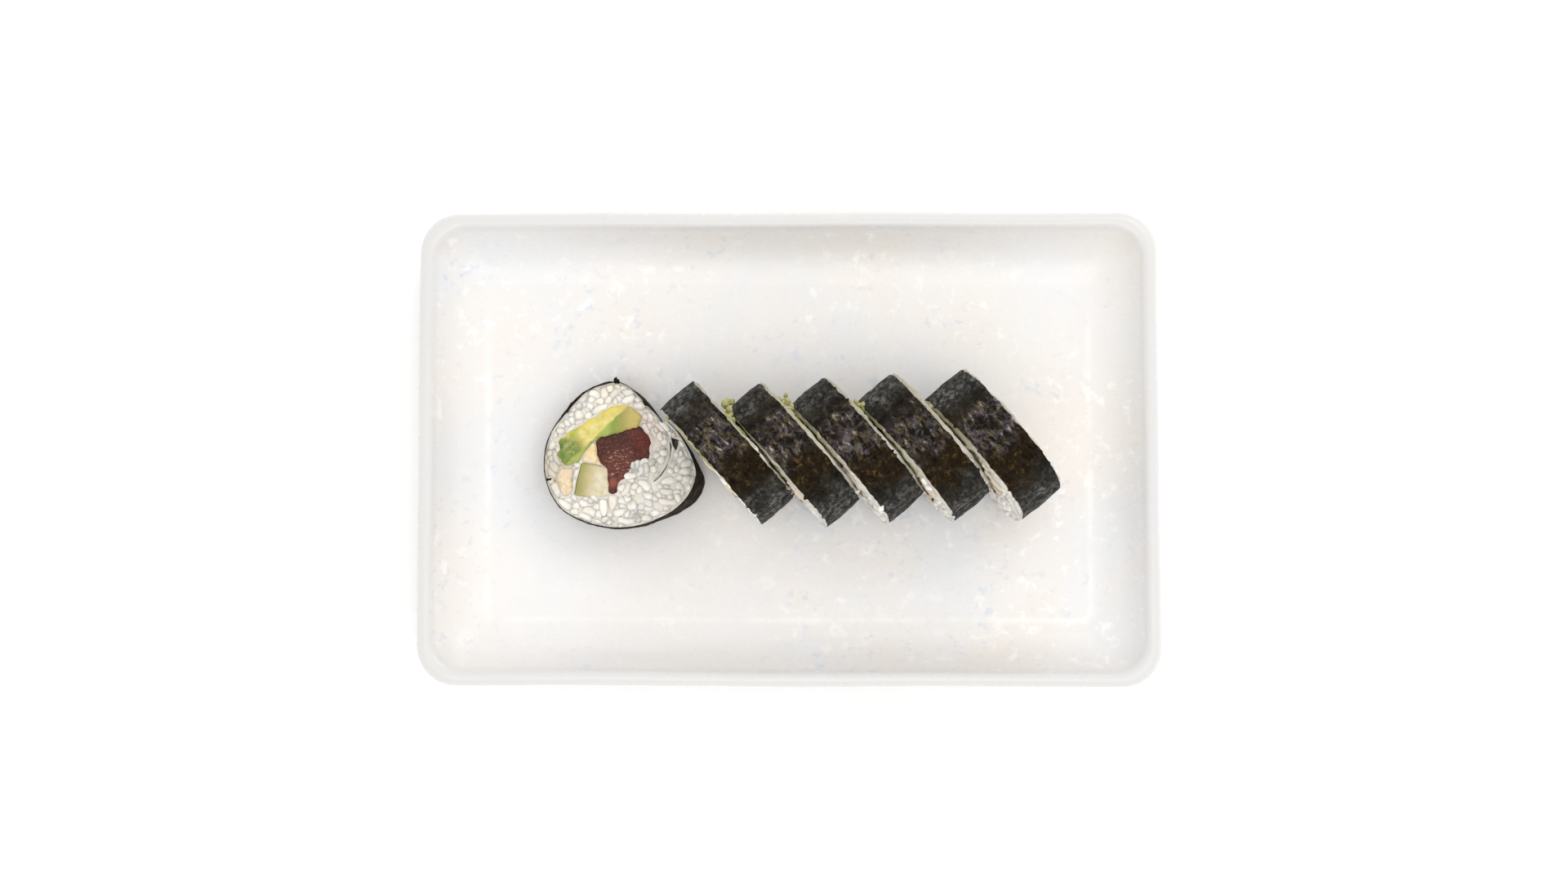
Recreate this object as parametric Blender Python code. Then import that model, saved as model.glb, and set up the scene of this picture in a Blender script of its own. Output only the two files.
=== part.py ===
"""A rectangular glazed stoneware dish carrying six slices of one thick sushi roll.

Slice 1 lies flat with its cut face up. Slices 2 to 6 stand on their nori side, face to
face in a row, each one set further along than the one before. All six share one
section: a spiral of nori round rice, with tuna, avocado, cucumber and two egg strips.
"""

import math

import bpy
from mathutils import Matrix, Vector
from mathutils.geometry import delaunay_2d_cdt

MM = 0.001
GAP = 0.3
SHARP_ANGLE = 40.0
MITRE_LEAST = 0.5
MERGE = 1e-6

# The dish, in millimetres. Each profile step is (distance in from the rim, height).
DISH_LONG = 236.0
DISH_WIDE = 151.0
DISH_CORNER = 12.5
DISH_FLOOR = 5.5
CORNER_STEPS = 5
CORNER_TAPER = 0.45
CORNER_LEAST = 2.5
UNDERSIDE = ((24.0, 0.0), (20.5, 0.8), (14.0, 3.2), (6.0, 8.6), (1.4, 13.4), (0.0, 15.8))
RIM = ((0.7, 17.3), (2.4, 18.0), (4.2, 17.6), (5.3, 16.2))
INSIDE = ((8.0, 12.4), (11.5, 9.2), (16.0, 6.9), (21.0, 5.8), (27.0, DISH_FLOOR))

# The nori sheet winds outward: (angle in degrees, radius of its outer face). It starts
# inside the rice as a short flap and closes over itself one turn later.
NORI_THICK = 0.5
SHEET = (
    (-46, 13.6), (-15, 15.1), (16, 16.4), (36, 17.8), (49, 18.9), (62, 20.3), (78, 22.2),
    (94, 23.3), (118, 23.4), (148, 22.9), (178, 24.4), (200, 25.5), (222, 26.0),
    (240, 24.8), (266, 23.8), (296, 23.9), (316, 24.9), (331, 25.3), (344, 24.9),
    (354, 24.1), (370, 22.6), (380, 21.6), (390, 20.6), (400, 19.7),
)
SHEET_START = -46
SHEET_END = 398
SHEET_STEP = 9
FLAP_MEETS = 58
FLAP_TIP = 1.4
RICE_END = 393

# Fillings: outlines round the roll's middle, neighbours sharing the same border.
FILLINGS = {
    "tuna": (
        (-8.2, 4.2), (-4.5, 5.6), (-1.5, 6.4), (2.6, 7.7), (5.8, 8.9), (7.6, 6.4),
        (9.7, 3.8), (8.7, 0.8), (8.8, -2.2), (6.6, -3.4), (4.4, -5.0), (2.6, -7.4),
        (-0.8, -8.8), (-1.4, -12.6), (-3.9, -12.8), (-4.1, -8.4), (-4.4, -4.8),
        (-5.2, -4.3), (-6.9, -2.4), (-7.9, 0.8),
    ),
    "avocado": (
        (6.4, 11.0), (5.0, 13.2), (3.2, 14.7), (-0.3, 15.4), (-4.3, 14.3), (-9.4, 11.3),
        (-13.7, 8.2), (-17.8, 5.2), (-20.2, 3.6), (-20.0, 0.2), (-19.0, -3.0),
        (-16.0, -3.6), (-13.4, -2.4), (-12.2, -0.6), (-11.9, 0.6), (-10.0, 3.0),
        (-8.2, 4.2), (-4.5, 5.6), (-1.5, 6.4), (2.6, 7.7), (5.8, 8.9),
    ),
    "egg_inner": (
        (-8.2, 4.2), (-7.9, 0.8), (-6.9, -2.4), (-5.2, -4.3), (-8.8, -3.8),
        (-12.6, -2.8), (-12.2, -0.6), (-11.9, 0.6), (-10.0, 3.0),
    ),
    "egg_outer": (
        (-19.0, -4.6), (-15.2, -4.3), (-15.1, -8.0), (-15.7, -13.2), (-17.9, -13.5),
        (-19.9, -10.0), (-20.3, -7.0),
    ),
    "cucumber": (
        (-12.6, -2.8), (-8.8, -3.8), (-5.2, -4.3), (-4.4, -4.8), (-4.1, -8.4),
        (-3.9, -12.8), (-4.6, -13.7), (-10.0, -13.8), (-14.8, -13.2), (-14.0, -8.0),
    ),
}

# Slice 1: middle on the dish, thickness of rice, how far its wall spreads on one side
# (full at a wall of FLAT_RADIUS), and how slice 2 presses another side in: its heading,
# where the squeeze starts and how much it takes off the widest point.
FLAT_MIDDLE = (-53.1, -1.9)
FLAT_THICK = 14.5
FLAT_SPREAD = 2.0
FLAT_SPREAD_AT = -22.0
FLAT_SPREAD_HALF = 42.0
FLAT_RADIUS = 23.0
PRESS_AT = 41.2
PRESS_FROM = 12.5
PRESS_WIDEST = 20.5
PRESS_BY = 2.2

# Slices 2 to 6 are a little plumper than slice 1: middle x and y, heading of the
# roll's axis, turn about that axis, width of nori, and how far the rice stands out of
# the nori at the cut toward slice 1 and at the far cut.
STAND_SCALE = 1.02
STANDING = (
    (-19.3, -2.3, 221.2, -95.0, 13.0, 0.1, 0.8),
    (1.3, -3.0, 221.1, -88.0, 12.9, 0.85, 1.1),
    (20.9, -1.4, 220.5, -99.0, 13.3, 1.25, 1.0),
    (41.3, -0.8, 219.9, -84.0, 13.7, 1.05, 1.4),
    (63.1, 0.3, 219.3, -92.0, 14.9, 1.5, 0.6),
)

COLOURS = {
    "dish": ((0.84, 0.83, 0.81), 0.25),
    "nori": ((0.030, 0.026, 0.020), 0.45),
    "rice": ((0.72, 0.69, 0.62), 0.50),
    "tuna": ((0.13, 0.045, 0.035), 0.35),
    "avocado": ((0.58, 0.56, 0.17), 0.45),
    "egg_inner": ((0.86, 0.68, 0.40), 0.55),
    "egg_outer": ((0.86, 0.68, 0.40), 0.55),
    "cucumber": ((0.62, 0.62, 0.38), 0.35),
}


def clear_scene():
    for old in list(bpy.data.objects):
        bpy.data.objects.remove(old, do_unlink=True)


def make_material(name):
    colour, roughness = COLOURS[name]
    material = bpy.data.materials.new(name)
    material.use_nodes = True
    shader = material.node_tree.nodes["Principled BSDF"]
    shader.inputs["Base Color"].default_value = (*colour, 1.0)
    shader.inputs["Roughness"].default_value = roughness
    return material


def add_object(name, points, faces, material):
    mesh = bpy.data.meshes.new(name)
    mesh.from_pydata([tuple(c * MM for c in p) for p in points], [], faces)
    mesh.validate()
    mesh.shade_smooth()
    mesh.set_sharp_from_angle(angle=math.radians(SHARP_ANGLE))
    mesh.materials.append(material)
    thing = bpy.data.objects.new(name, mesh)
    bpy.context.collection.objects.link(thing)
    return thing


def rounded_ring(inset, height):
    """One level loop of the dish, with corners that tighten toward the floor."""
    half_x = DISH_LONG / 2 - inset
    half_y = DISH_WIDE / 2 - inset
    radius = max(DISH_CORNER - CORNER_TAPER * inset, CORNER_LEAST)
    ring = []
    for corner, (sx, sy) in enumerate(((1, 1), (-1, 1), (-1, -1), (1, -1))):
        cx = sx * (half_x - radius)
        cy = sy * (half_y - radius)
        for step in range(CORNER_STEPS + 1):
            angle = math.radians(90.0 * corner + 90.0 * step / CORNER_STEPS)
            x = cx + radius * math.cos(angle)
            y = cy + radius * math.sin(angle)
            ring.append((x, y, height))
    return ring


def build_dish():
    profile = UNDERSIDE + RIM + INSIDE
    rings = [rounded_ring(inset, height) for inset, height in profile]
    count = len(rings[0])
    points = [p for ring in rings for p in ring]
    faces = [tuple(reversed(range(count)))]
    for level in range(len(rings) - 1):
        for i in range(count):
            j = (i + 1) % count
            low = level * count
            faces.append((low + i, low + j, low + count + j, low + count + i))
    top = (len(rings) - 1) * count
    faces.append(tuple(range(top, top + count)))
    return add_object("dish", points, faces, make_material("dish"))


def sheet_radius(angle):
    """Radius of the sheet's outer face, smooth through the named turning points."""
    last = len(SHEET) - 1
    k = 0
    while k < last - 1 and angle > SHEET[k + 1][0]:
        k += 1
    (a0, r0), (a1, r1) = SHEET[k], SHEET[k + 1]
    before = SHEET[max(k - 1, 0)]
    after = SHEET[min(k + 2, last)]
    slope0 = (r1 - before[1]) / (a1 - before[0])
    slope1 = (after[1] - r0) / (after[0] - a0)
    span = a1 - a0
    t = (angle - a0) / span
    value = r0 * (2 * t ** 3 - 3 * t ** 2 + 1) + r1 * (3 * t ** 2 - 2 * t ** 3)
    value += span * slope0 * (t ** 3 - 2 * t ** 2 + t)
    value += span * slope1 * (t ** 3 - t ** 2)
    return value


def polar(angle, radius):
    a = math.radians(angle)
    return (radius * math.cos(a), radius * math.sin(a))


def angles_between(start, end):
    count = max(1, round(abs(end - start) / SHEET_STEP))
    return [start + (end - start) * i / count for i in range(count + 1)]


def nori_outline():
    turns = angles_between(SHEET_START, SHEET_END)
    outer = [polar(a, sheet_radius(a)) for a in turns]
    inner = [polar(a, sheet_radius(a) - NORI_THICK) for a in reversed(turns)]
    return outer + inner


def rice_outline():
    """Inside the outer turn, then round both sides of the flap's slot."""
    inset = NORI_THICK + GAP
    rim = [polar(a, sheet_radius(a) - inset) for a in angles_between(FLAP_MEETS, RICE_END)]
    tip = SHEET_START - FLAP_TIP
    over = [
        polar(a, sheet_radius(max(a, SHEET_START)) + GAP)
        for a in angles_between(RICE_END - 360, tip)
    ]
    under = [
        polar(a, sheet_radius(max(a, SHEET_START)) - inset)
        for a in angles_between(tip, FLAP_MEETS)
    ]
    return rim + over + under[:-1]


def anticlockwise(outline):
    area = 0.0
    for i, (x1, y1) in enumerate(outline):
        x0, y0 = outline[i - 1]
        area += x0 * y1 - x1 * y0
    return list(outline) if area > 0 else list(reversed(outline))


def grow(outline, distance):
    """Move every edge of a closed outline outward by a distance."""
    outline = anticlockwise(outline)
    count = len(outline)
    moved = []
    for i in range(count):
        here = Vector(outline[i])
        into = (here - Vector(outline[i - 1])).normalized()
        away = (Vector(outline[(i + 1) % count]) - here).normalized()
        n0 = Vector((into.y, -into.x))
        n1 = Vector((away.y, -away.x))
        both = n0 + n1
        reach = distance / max(MITRE_LEAST, both.length_squared / 2)
        moved.append(tuple(here + both * reach))
    return moved


def region(outline, holes=()):
    """Triangles inside an outline and outside every hole, with their border edges."""
    points = []
    rings = []
    for loop in (outline, *holes):
        rings.append(list(range(len(points), len(points) + len(loop))))
        points.extend(Vector(p) for p in anticlockwise(loop))
    found = delaunay_2d_cdt(points, [], rings, 1, MERGE, True)
    flat, triangles, owners = found[0], found[2], found[5]
    kept = [tuple(t) for t, own in zip(triangles, owners) if list(own) == [0]]
    edges = {}
    for a, b, c in kept:
        for edge in ((a, b), (b, c), (c, a)):
            edges[edge] = True
    border = [e for e in edges if (e[1], e[0]) not in edges]
    used = sorted({i for t in kept for i in t})
    order = {old: new for new, old in enumerate(used)}
    flat = [(flat[i].x, flat[i].y) for i in used]
    kept = [tuple(order[i] for i in t) for t in kept]
    border = [(order[a], order[b]) for a, b in border]
    return flat, kept, border


def solid_from(shape, name, levels, place, material):
    """Carry a flat region through the slice, level by level."""
    flat, triangles, border = shape
    count = len(flat)
    points = []
    for level in levels:
        points.extend(place(u, v, level) for u, v in flat)
    top = (len(levels) - 1) * count
    faces = [tuple(reversed(t)) for t in triangles]
    faces += [tuple(i + top for i in t) for t in triangles]
    for step in range(len(levels) - 1):
        low = step * count
        for a, b in border:
            faces.append((low + a, low + b, low + count + b, low + count + a))
    return add_object(name, points, faces, material)


def flat_place(u, v, level):
    """Slice 1: cut face up, spread at the foot of one side, pressed in by slice 2."""
    radius = math.hypot(u, v)
    angle = math.degrees(math.atan2(v, u))
    off = (angle - FLAT_SPREAD_AT + 180.0) % 360.0 - 180.0
    push = 0.0
    if abs(off) < FLAT_SPREAD_HALF:
        push = FLAT_SPREAD * math.cos(math.radians(90.0 * off / FLAT_SPREAD_HALF)) ** 2
    push *= (1.0 - level / FLAT_THICK) * (radius / FLAT_RADIUS) ** 3
    scale = 1.0 + push / max(radius, 1.0)
    spot = Vector((u, v)) * scale
    toward = Vector((math.cos(math.radians(PRESS_AT)), math.sin(math.radians(PRESS_AT))))
    t = (spot.dot(toward) - PRESS_FROM) / (PRESS_WIDEST - PRESS_FROM)
    t = min(max(t, 0.0), 1.0)
    spot -= toward * PRESS_BY * t * t * (3.0 - 2.0 * t)
    x = FLAT_MIDDLE[0] + spot.x
    y = FLAT_MIDDLE[1] + spot.y
    return (x, y, DISH_FLOOR + GAP + level)


def standing_place(x, y, heading, turn):
    """Slices 2 to 6: axis level, nori on the dish floor, centred on the middle given."""
    rot = Matrix.Rotation(math.radians(turn), 2)
    rim = [rot @ Vector(p) * STAND_SCALE for p in nori_outline()]
    shift_u = -(min(p.x for p in rim) + max(p.x for p in rim)) / 2
    shift_v = -min(p.y for p in rim)
    a = math.radians(heading)
    along = Vector((math.sin(a), -math.cos(a), 0.0))
    axis = Vector((-math.cos(a), -math.sin(a), 0.0))
    base = Vector((x, y, DISH_FLOOR + GAP))

    def place(u, v, level):
        p = rot @ Vector((u, v)) * STAND_SCALE
        where = base + along * (p.x + shift_u) + axis * level
        where.z += p.y + shift_v
        return tuple(where)

    return place


def build_slice(number, place, nori_levels, rice_levels, shapes, materials):
    for name, shape in shapes.items():
        levels = nori_levels if name == "nori" else rice_levels
        solid_from(shape, f"slice_{number}_{name}", levels, place, materials[name])


def main():
    clear_scene()
    build_dish()
    cavities = [grow(outline, GAP / 2) for outline in FILLINGS.values()]
    shapes = {"nori": region(nori_outline()), "rice": region(rice_outline(), cavities)}
    for name, outline in FILLINGS.items():
        shapes[name] = region(grow(outline, -GAP / 2))
    materials = {name: make_material(name) for name in shapes}

    flat_levels = [FLAT_THICK * step / 3 for step in range(4)]
    build_slice(1, flat_place, flat_levels, flat_levels, shapes, materials)
    for number, (x, y, heading, turn, width, near, far) in enumerate(STANDING, start=2):
        place = standing_place(x, y, heading, turn)
        half = width / 2
        nori_levels = [-half, half]
        rice_levels = [-half - near, half + far]
        build_slice(number, place, nori_levels, rice_levels, shapes, materials)


main()
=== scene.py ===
"""Looks for a thick maki roll cut in six and served on a rectangular stoneware dish.

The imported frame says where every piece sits. This file remakes each one in full detail:
the dish with its hand-made wobble, nori as a thin crinkled sheet, rice as real grains
over a smaller core, and fillings with their cut faces. Lengths in it are millimetres,
turned to metres only where a mesh is made.
"""

import math

import bpy
import numpy as np
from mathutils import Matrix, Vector, noise
from mathutils.geometry import delaunay_2d_cdt


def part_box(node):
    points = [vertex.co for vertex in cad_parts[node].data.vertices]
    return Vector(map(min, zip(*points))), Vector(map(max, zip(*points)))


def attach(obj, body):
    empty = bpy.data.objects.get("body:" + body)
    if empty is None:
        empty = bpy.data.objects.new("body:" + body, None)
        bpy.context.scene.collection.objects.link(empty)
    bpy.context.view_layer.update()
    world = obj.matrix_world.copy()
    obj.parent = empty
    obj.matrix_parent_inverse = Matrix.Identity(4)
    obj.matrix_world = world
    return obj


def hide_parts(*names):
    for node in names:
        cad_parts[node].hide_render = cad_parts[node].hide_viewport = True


bl_info = {
    "name": "Maki Roll on a Stoneware Dish",
    "version": (1, 0, 0),
    "blender": (4, 5, 0),
    "location": "View3D > Sidebar > Maki",
    "description": "Builds the detailed looks of a sliced maki roll and its dish",
    "category": "Add Mesh",
}

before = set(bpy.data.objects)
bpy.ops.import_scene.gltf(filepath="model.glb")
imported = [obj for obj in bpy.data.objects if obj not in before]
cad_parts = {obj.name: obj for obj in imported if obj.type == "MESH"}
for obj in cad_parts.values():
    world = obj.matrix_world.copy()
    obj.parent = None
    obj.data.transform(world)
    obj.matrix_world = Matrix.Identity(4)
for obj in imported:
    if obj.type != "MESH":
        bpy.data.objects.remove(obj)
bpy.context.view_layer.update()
MM = 0.001
BODY = "root"

# ---------------------------------------------------------------- sizes, millimetres

DISH_LOW, DISH_HIGH = (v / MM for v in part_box("dish"))
DISH_LONG = DISH_HIGH.x - DISH_LOW.x
DISH_WIDE = DISH_HIGH.y - DISH_LOW.y
DISH_RIM = DISH_HIGH.z
DISH_CORNER = 12.5
DISH_FLOOR = 5.5
CORNER_TAPER = 0.45
CORNER_LEAST = 2.5
GAP = 0.3

# Dish section as (distance in from the rim, height), underside first.
UNDERSIDE = ((24.0, 0.0), (20.5, 0.8), (14.0, 3.2), (6.0, 8.6), (1.4, 13.4), (0.0, 15.8))
RIM = ((0.7, 17.3), (2.4, 18.0), (4.2, 17.6), (5.3, 16.2))
INSIDE = ((8.0, 12.4), (11.5, 9.2), (16.0, 6.9), (21.0, 5.8), (27.0, DISH_FLOOR))

# The nori's spiral: (angle in degrees, radius of its outer face).
SHEET = (
    (-46, 13.6), (-15, 15.1), (16, 16.4), (36, 17.8), (49, 18.9), (62, 20.3), (78, 22.2),
    (94, 23.3), (118, 23.4), (148, 22.9), (178, 24.4), (200, 25.5), (222, 26.0),
    (240, 24.8), (266, 23.8), (296, 23.9), (316, 24.9), (331, 25.3), (344, 24.9),
    (354, 24.1), (370, 22.6), (380, 21.6), (390, 20.6), (400, 19.7),
)
SHEET_START = -46.0
SHEET_END = 398.0
NORI_ROWS = 400
NORI_COLUMNS = 31
FLAP_MEETS = 58.0
# Where a standing slice's free end of nori starts to bend onto the lap below, how far.
SEAM_FROM = 370.0
SEAM_DROP = 1.5

# Fillings round the roll's middle, neighbours sharing the same border.
FILLINGS = {
    "tuna": (
        (-8.2, 4.2), (-4.5, 5.6), (-1.5, 6.4), (2.6, 7.7), (5.8, 8.9), (7.6, 6.4),
        (9.7, 3.8), (8.7, 0.8), (8.8, -2.2), (6.6, -3.4), (4.4, -5.0), (2.6, -7.4),
        (-0.8, -8.8), (-1.4, -12.6), (-3.9, -12.8), (-4.1, -8.4), (-4.4, -4.8),
        (-5.2, -4.3), (-6.9, -2.4), (-7.9, 0.8),
    ),
    "avocado": (
        (6.4, 11.0), (5.0, 13.2), (3.2, 14.7), (-0.3, 15.4), (-4.3, 14.3), (-9.4, 11.3),
        (-13.7, 8.2), (-17.8, 5.2), (-20.2, 3.6), (-20.0, 0.2), (-19.0, -3.0),
        (-16.0, -3.6), (-13.4, -2.4), (-12.2, -0.6), (-11.9, 0.6), (-10.0, 3.0),
        (-8.2, 4.2), (-4.5, 5.6), (-1.5, 6.4), (2.6, 7.7), (5.8, 8.9),
    ),
    "egg_inner": (
        (-8.2, 4.2), (-7.9, 0.8), (-6.9, -2.4), (-5.2, -4.3), (-8.8, -3.8),
        (-12.6, -2.8), (-12.2, -0.6), (-11.9, 0.6), (-10.0, 3.0),
    ),
    "egg_outer": (
        (-19.4, -4.7), (-15.2, -4.3), (-15.1, -8.0), (-15.5, -13.2), (-18.7, -13.5),
        (-19.9, -10.0), (-20.3, -7.0),
    ),
    "cucumber": (
        (-12.6, -2.8), (-8.8, -3.8), (-5.2, -4.3), (-4.4, -4.8), (-4.1, -8.4),
        (-3.9, -12.8), (-4.6, -13.7), (-10.0, -13.8), (-14.8, -13.2), (-14.0, -8.0),
    ),
}
SLOT_OF = {
    "tuna": "tuna",
    "avocado": "avocado",
    "egg_inner": "egg",
    "egg_outer": "egg",
    "cucumber": "cucumber",
}
# How each filling's cut face is finished: how round its corners are (share of an edge
# cut back), how deep its edge falls away, how rough its face is, how far it stands out.
FACE = {
    "tuna": (0.13, 0.5, 0.42, 0.30),
    "avocado": (0.20, 0.4, 0.42, 0.25),
    "egg_inner": (0.27, 1.2, 0.60, 0.65),
    "egg_outer": (0.18, 0.9, 0.60, 0.45),
    "cucumber": (0.06, 0.25, 0.10, 0.05),
}
# How far torn edges stray from the fillings' outlines.
TORN = 0.55

# Slice 1 lies flat: spread at the foot of one side, pressed in by slice 2 on another.
FLAT_MIDDLE = (-53.1, -1.9)
FLAT_THICK = 14.5
FLAT_SPREAD = 2.0
FLAT_SPREAD_AT = -22.0
FLAT_SPREAD_HALF = 42.0
FLAT_RADIUS = 23.0
PRESS_AT = 41.2
PRESS_FROM = 12.5
PRESS_WIDEST = 20.5
PRESS_BY = 2.2

# Slices 2 to 6: heading of the roll's axis, turn about it, nori width, and how far the
# rice stands out of the nori at the cut toward slice 1 and at the far cut.
STAND_SCALE = 1.02
STANDING = (
    (221.2, -95.0, 13.0, 0.1, 0.8),
    (221.1, -88.0, 12.9, 0.85, 1.1),
    (220.5, -99.0, 13.3, 1.25, 1.0),
    (219.9, -84.0, 13.7, 1.05, 1.4),
    (219.3, -92.0, 14.9, 1.5, 0.6),
)

# Where slice 1's nori folds in over the rice: (direction, spread in degrees, how far).
NORI_FOLDS = ((136.0, 24.0, 0.85), (104.0, 14.0, 0.5), (62.0, 16.0, 1.2))

# Crumbs that the knife dragged onto neighbouring slices: middle and length, millimetres.
AVOCADO_CRUMBS = (
    ((-37.5, 7.6, 36.0), 2.2), ((-19.4, 12.6, 38.0), 4.2), ((-18.2, 10.4, 41.0), 3.8),
    ((-17.2, 8.4, 44.0), 3.0), ((-2.4, 14.6, 36.0), 3.6), ((-1.2, 12.6, 38.5), 4.0),
    ((-0.2, 10.2, 41.5), 2.8), ((1.3, 6.2, 45.0), 2.4), ((21.2, 12.6, 39.0), 3.0),
    ((22.0, 11.0, 42.0), 2.8), ((39.9, 13.0, 37.0), 1.8),
)
RIND_CRUMBS = (((0.4, 7.9, 44.5), 2.6), ((-0.4, 9.0, 43.0), 1.8), ((22.6, 10.0, 44.0), 1.8))
# Grains pulled half out of a cut: (slice, side, place along the slice, how far out).
STRAY_GRAINS = (
    (2, -1, 4.6, 0.8), (2, -1, 6.6, 1.0), (2, -1, 8.6, 0.6), (2, -1, 12.6, 0.7),
    (2, -1, 14.6, 0.5), (2, -1, 19.8, 0.5), (3, -1, 17.5, 0.7),
    (3, -1, 19.2, 0.5), (3, -1, 6.4, 0.2), (4, -1, 9.6, 0.5), (4, -1, 17.4, 0.4),
    (5, -1, 8.4, 1.1), (5, -1, 10.0, 1.4), (5, -1, 9.4, 0.7), (5, -1, 15.0, 0.5),
    (6, -1, 12.0, 0.5), (6, -1, 16.4, 0.4), )
NORI_FLECKS = (
    (-55.0, 21.4, 20.4), (-54.2, 20.9, 20.5), (-76.0, -10.2, 20.1),
    (33.9, -3.2, 48.5), (35.2, -4.6, 48.0), (38.9, -8.2, 45.0), (45.6, -16.6, 22.0),
    (36.6, -6.0, 47.0), (14.6, -4.4, 47.5), (16.2, -6.4, 46.0),
)
# Rice stained by fish or egg: middle and reach.
STAINS = (((47.2, -14.9, 24.0), 4.0), ((63.0, -10.8, 30.0), 3.2), ((52.4, -17.2, 20.0), 2.6))


# ---------------------------------------------------------------- settings


class MakiDishSettings(bpy.types.PropertyGroup):
    glaze: bpy.props.FloatVectorProperty(
        name="Glaze",
        description="Colour of the dish's glaze",
        subtype="COLOR",
        size=3,
        min=0.0,
        max=1.0,
        default=(0.795, 0.783, 0.775),
    )
    wobble: bpy.props.FloatProperty(
        name="Wobble",
        description="How far the hand-made rim strays from a true rectangle",
        default=0.45 * MM,
        min=0.0,
        max=2.0 * MM,
        unit="LENGTH",
        subtype="DISTANCE",
    )


class MakiSliceSettings(bpy.types.PropertyGroup):
    grain_long: bpy.props.FloatProperty(
        name="Grain length",
        description="Length of a cooked short grain of rice",
        default=5.6 * MM,
        min=4.0 * MM,
        max=8.0 * MM,
        unit="LENGTH",
        subtype="DISTANCE",
    )
    grain_wide: bpy.props.FloatProperty(
        name="Grain width",
        description="Width of a cooked short grain of rice",
        default=2.9 * MM,
        min=1.5 * MM,
        max=4.0 * MM,
        unit="LENGTH",
        subtype="DISTANCE",
    )
    nori_thick: bpy.props.FloatProperty(
        name="Nori thickness",
        description="Thickness of the moistened sheet",
        default=0.2 * MM,
        min=0.1 * MM,
        max=0.5 * MM,
        unit="LENGTH",
        subtype="DISTANCE",
    )
    seed: bpy.props.IntProperty(
        name="Seed",
        description="Changes how the grains fall",
        default=7,
        min=0,
    )


class MakiStageSettings(bpy.types.PropertyGroup):
    room_light: bpy.props.FloatProperty(
        name="Room light",
        description="Strength of the even white light from all round",
        default=0.99,
        min=0.0,
    )
    window_light: bpy.props.FloatProperty(
        name="Window light",
        description="Power of the large soft light behind the dish",
        default=6.0,
        min=0.0,
        unit="POWER",
    )
    lens: bpy.props.FloatProperty(
        name="Lens",
        description="Focal length of the camera",
        default=45.2,
        min=10.0,
        unit="CAMERA",
    )


# ---------------------------------------------------------------- materials


def linear(code):
    """An sRGB hex colour as linear red, green, blue and alpha."""
    values = [int(code[i:i + 2], 16) / 255.0 for i in (1, 3, 5)]
    curve = [v / 12.92 if v <= 0.04045 else ((v + 0.055) / 1.055) ** 2.4 for v in values]
    return (*curve, 1.0)


def shade(value):
    """A colour given as a hex code or as a grey from 0 to 1; any other stays as it is."""
    if isinstance(value, str):
        return linear(value)
    if isinstance(value, float):
        return (value, value, value, 1.0)
    return value


def per_metre(size):
    """Texture scale at which one feature is this many millimetres across."""
    return 1.0 / (size * MM)


def new_material(name):
    """An empty material and its nodes."""
    material = bpy.data.materials.new(name)
    material.use_nodes = True
    return material, material.node_tree


def feed(tree, node, inputs):
    """Links each input that is given as a socket and sets any other."""
    for key, value in inputs.items():
        if isinstance(value, bpy.types.NodeSocket):
            tree.links.new(value, node.inputs[key])
        else:
            node.inputs[key].default_value = value


def add(tree, kind, settings, inputs, out=0, stops=()):
    """Adds one node with its settings, links and ramp stops; gives one of its outputs."""
    node = tree.nodes.new(kind)
    for key, value in settings.items():
        setattr(node, key, value)
    feed(tree, node, inputs)
    if stops:
        ramp = node.color_ramp
        while len(ramp.elements) > 1:
            ramp.elements.remove(ramp.elements[-1])
        ramp.elements[0].position = stops[0][0]
        ramp.elements[0].color = shade(stops[0][1])
        for place, colour in stops[1:]:
            ramp.elements.new(place).color = shade(colour)
    return node.outputs[out]


def finish(material, inputs):
    """Feeds the material's own shader and gives the material back."""
    tree = material.node_tree
    feed(tree, tree.nodes["Principled BSDF"], inputs)
    return material


def layered(tree, colour, *layers):
    """Lays colours over one another. A layer is its colour and then its masks, which
    are multiplied: patterns, numbers, or names of values kept on the mesh's points."""
    colour = shade(colour)
    for over, *masks in layers:
        share = None
        for mask in masks:
            if isinstance(mask, str):
                mask = add(tree, "ShaderNodeAttribute", {"attribute_name": mask}, {}, "Fac")
            if share is not None:
                both = {0: share, 1: mask}
                mask = add(tree, "ShaderNodeMath", {"operation": "MULTIPLY"}, both)
            share = mask
        parts = {0: share, 6: colour, 7: shade(over)}
        colour = add(tree, "ShaderNodeMix", {"data_type": "RGBA"}, parts, 2)
    return colour


def relief(tree, *steps):
    """Surface relief from (pattern, millimetres deep) steps, the finest last."""
    normal = {}
    for height, depth in steps:
        parts = {"Height": height, "Distance": depth * MM, "Strength": 1.0, **normal}
        normal = {"Normal": add(tree, "ShaderNodeBump", {}, parts)}
    return normal["Normal"]


def clouds(tree, place, size, detail=3.0, stops=(), roughness=0.5):
    """Cloudy pattern with features of one size in millimetres, through a ramp if any."""
    parts = {"Vector": place, "Scale": per_metre(size), "Detail": detail, "Roughness": roughness}
    level = add(tree, "ShaderNodeTexNoise", {}, parts)
    if not stops:
        return level
    return add(tree, "ShaderNodeValToRGB", {}, {"Fac": level}, 0, stops)


def fibrous(tree, place, turn, stretch, size, detail, roughness):
    """Cloudy pattern drawn out one way: turned by radians, squeezed by three shares."""
    parts = {"Vector": place, "Rotation": (0.0, 0.0, turn), "Scale": stretch}
    drawn = add(tree, "ShaderNodeMapping", {}, parts)
    return clouds(tree, drawn, size, detail, (), roughness)


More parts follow.
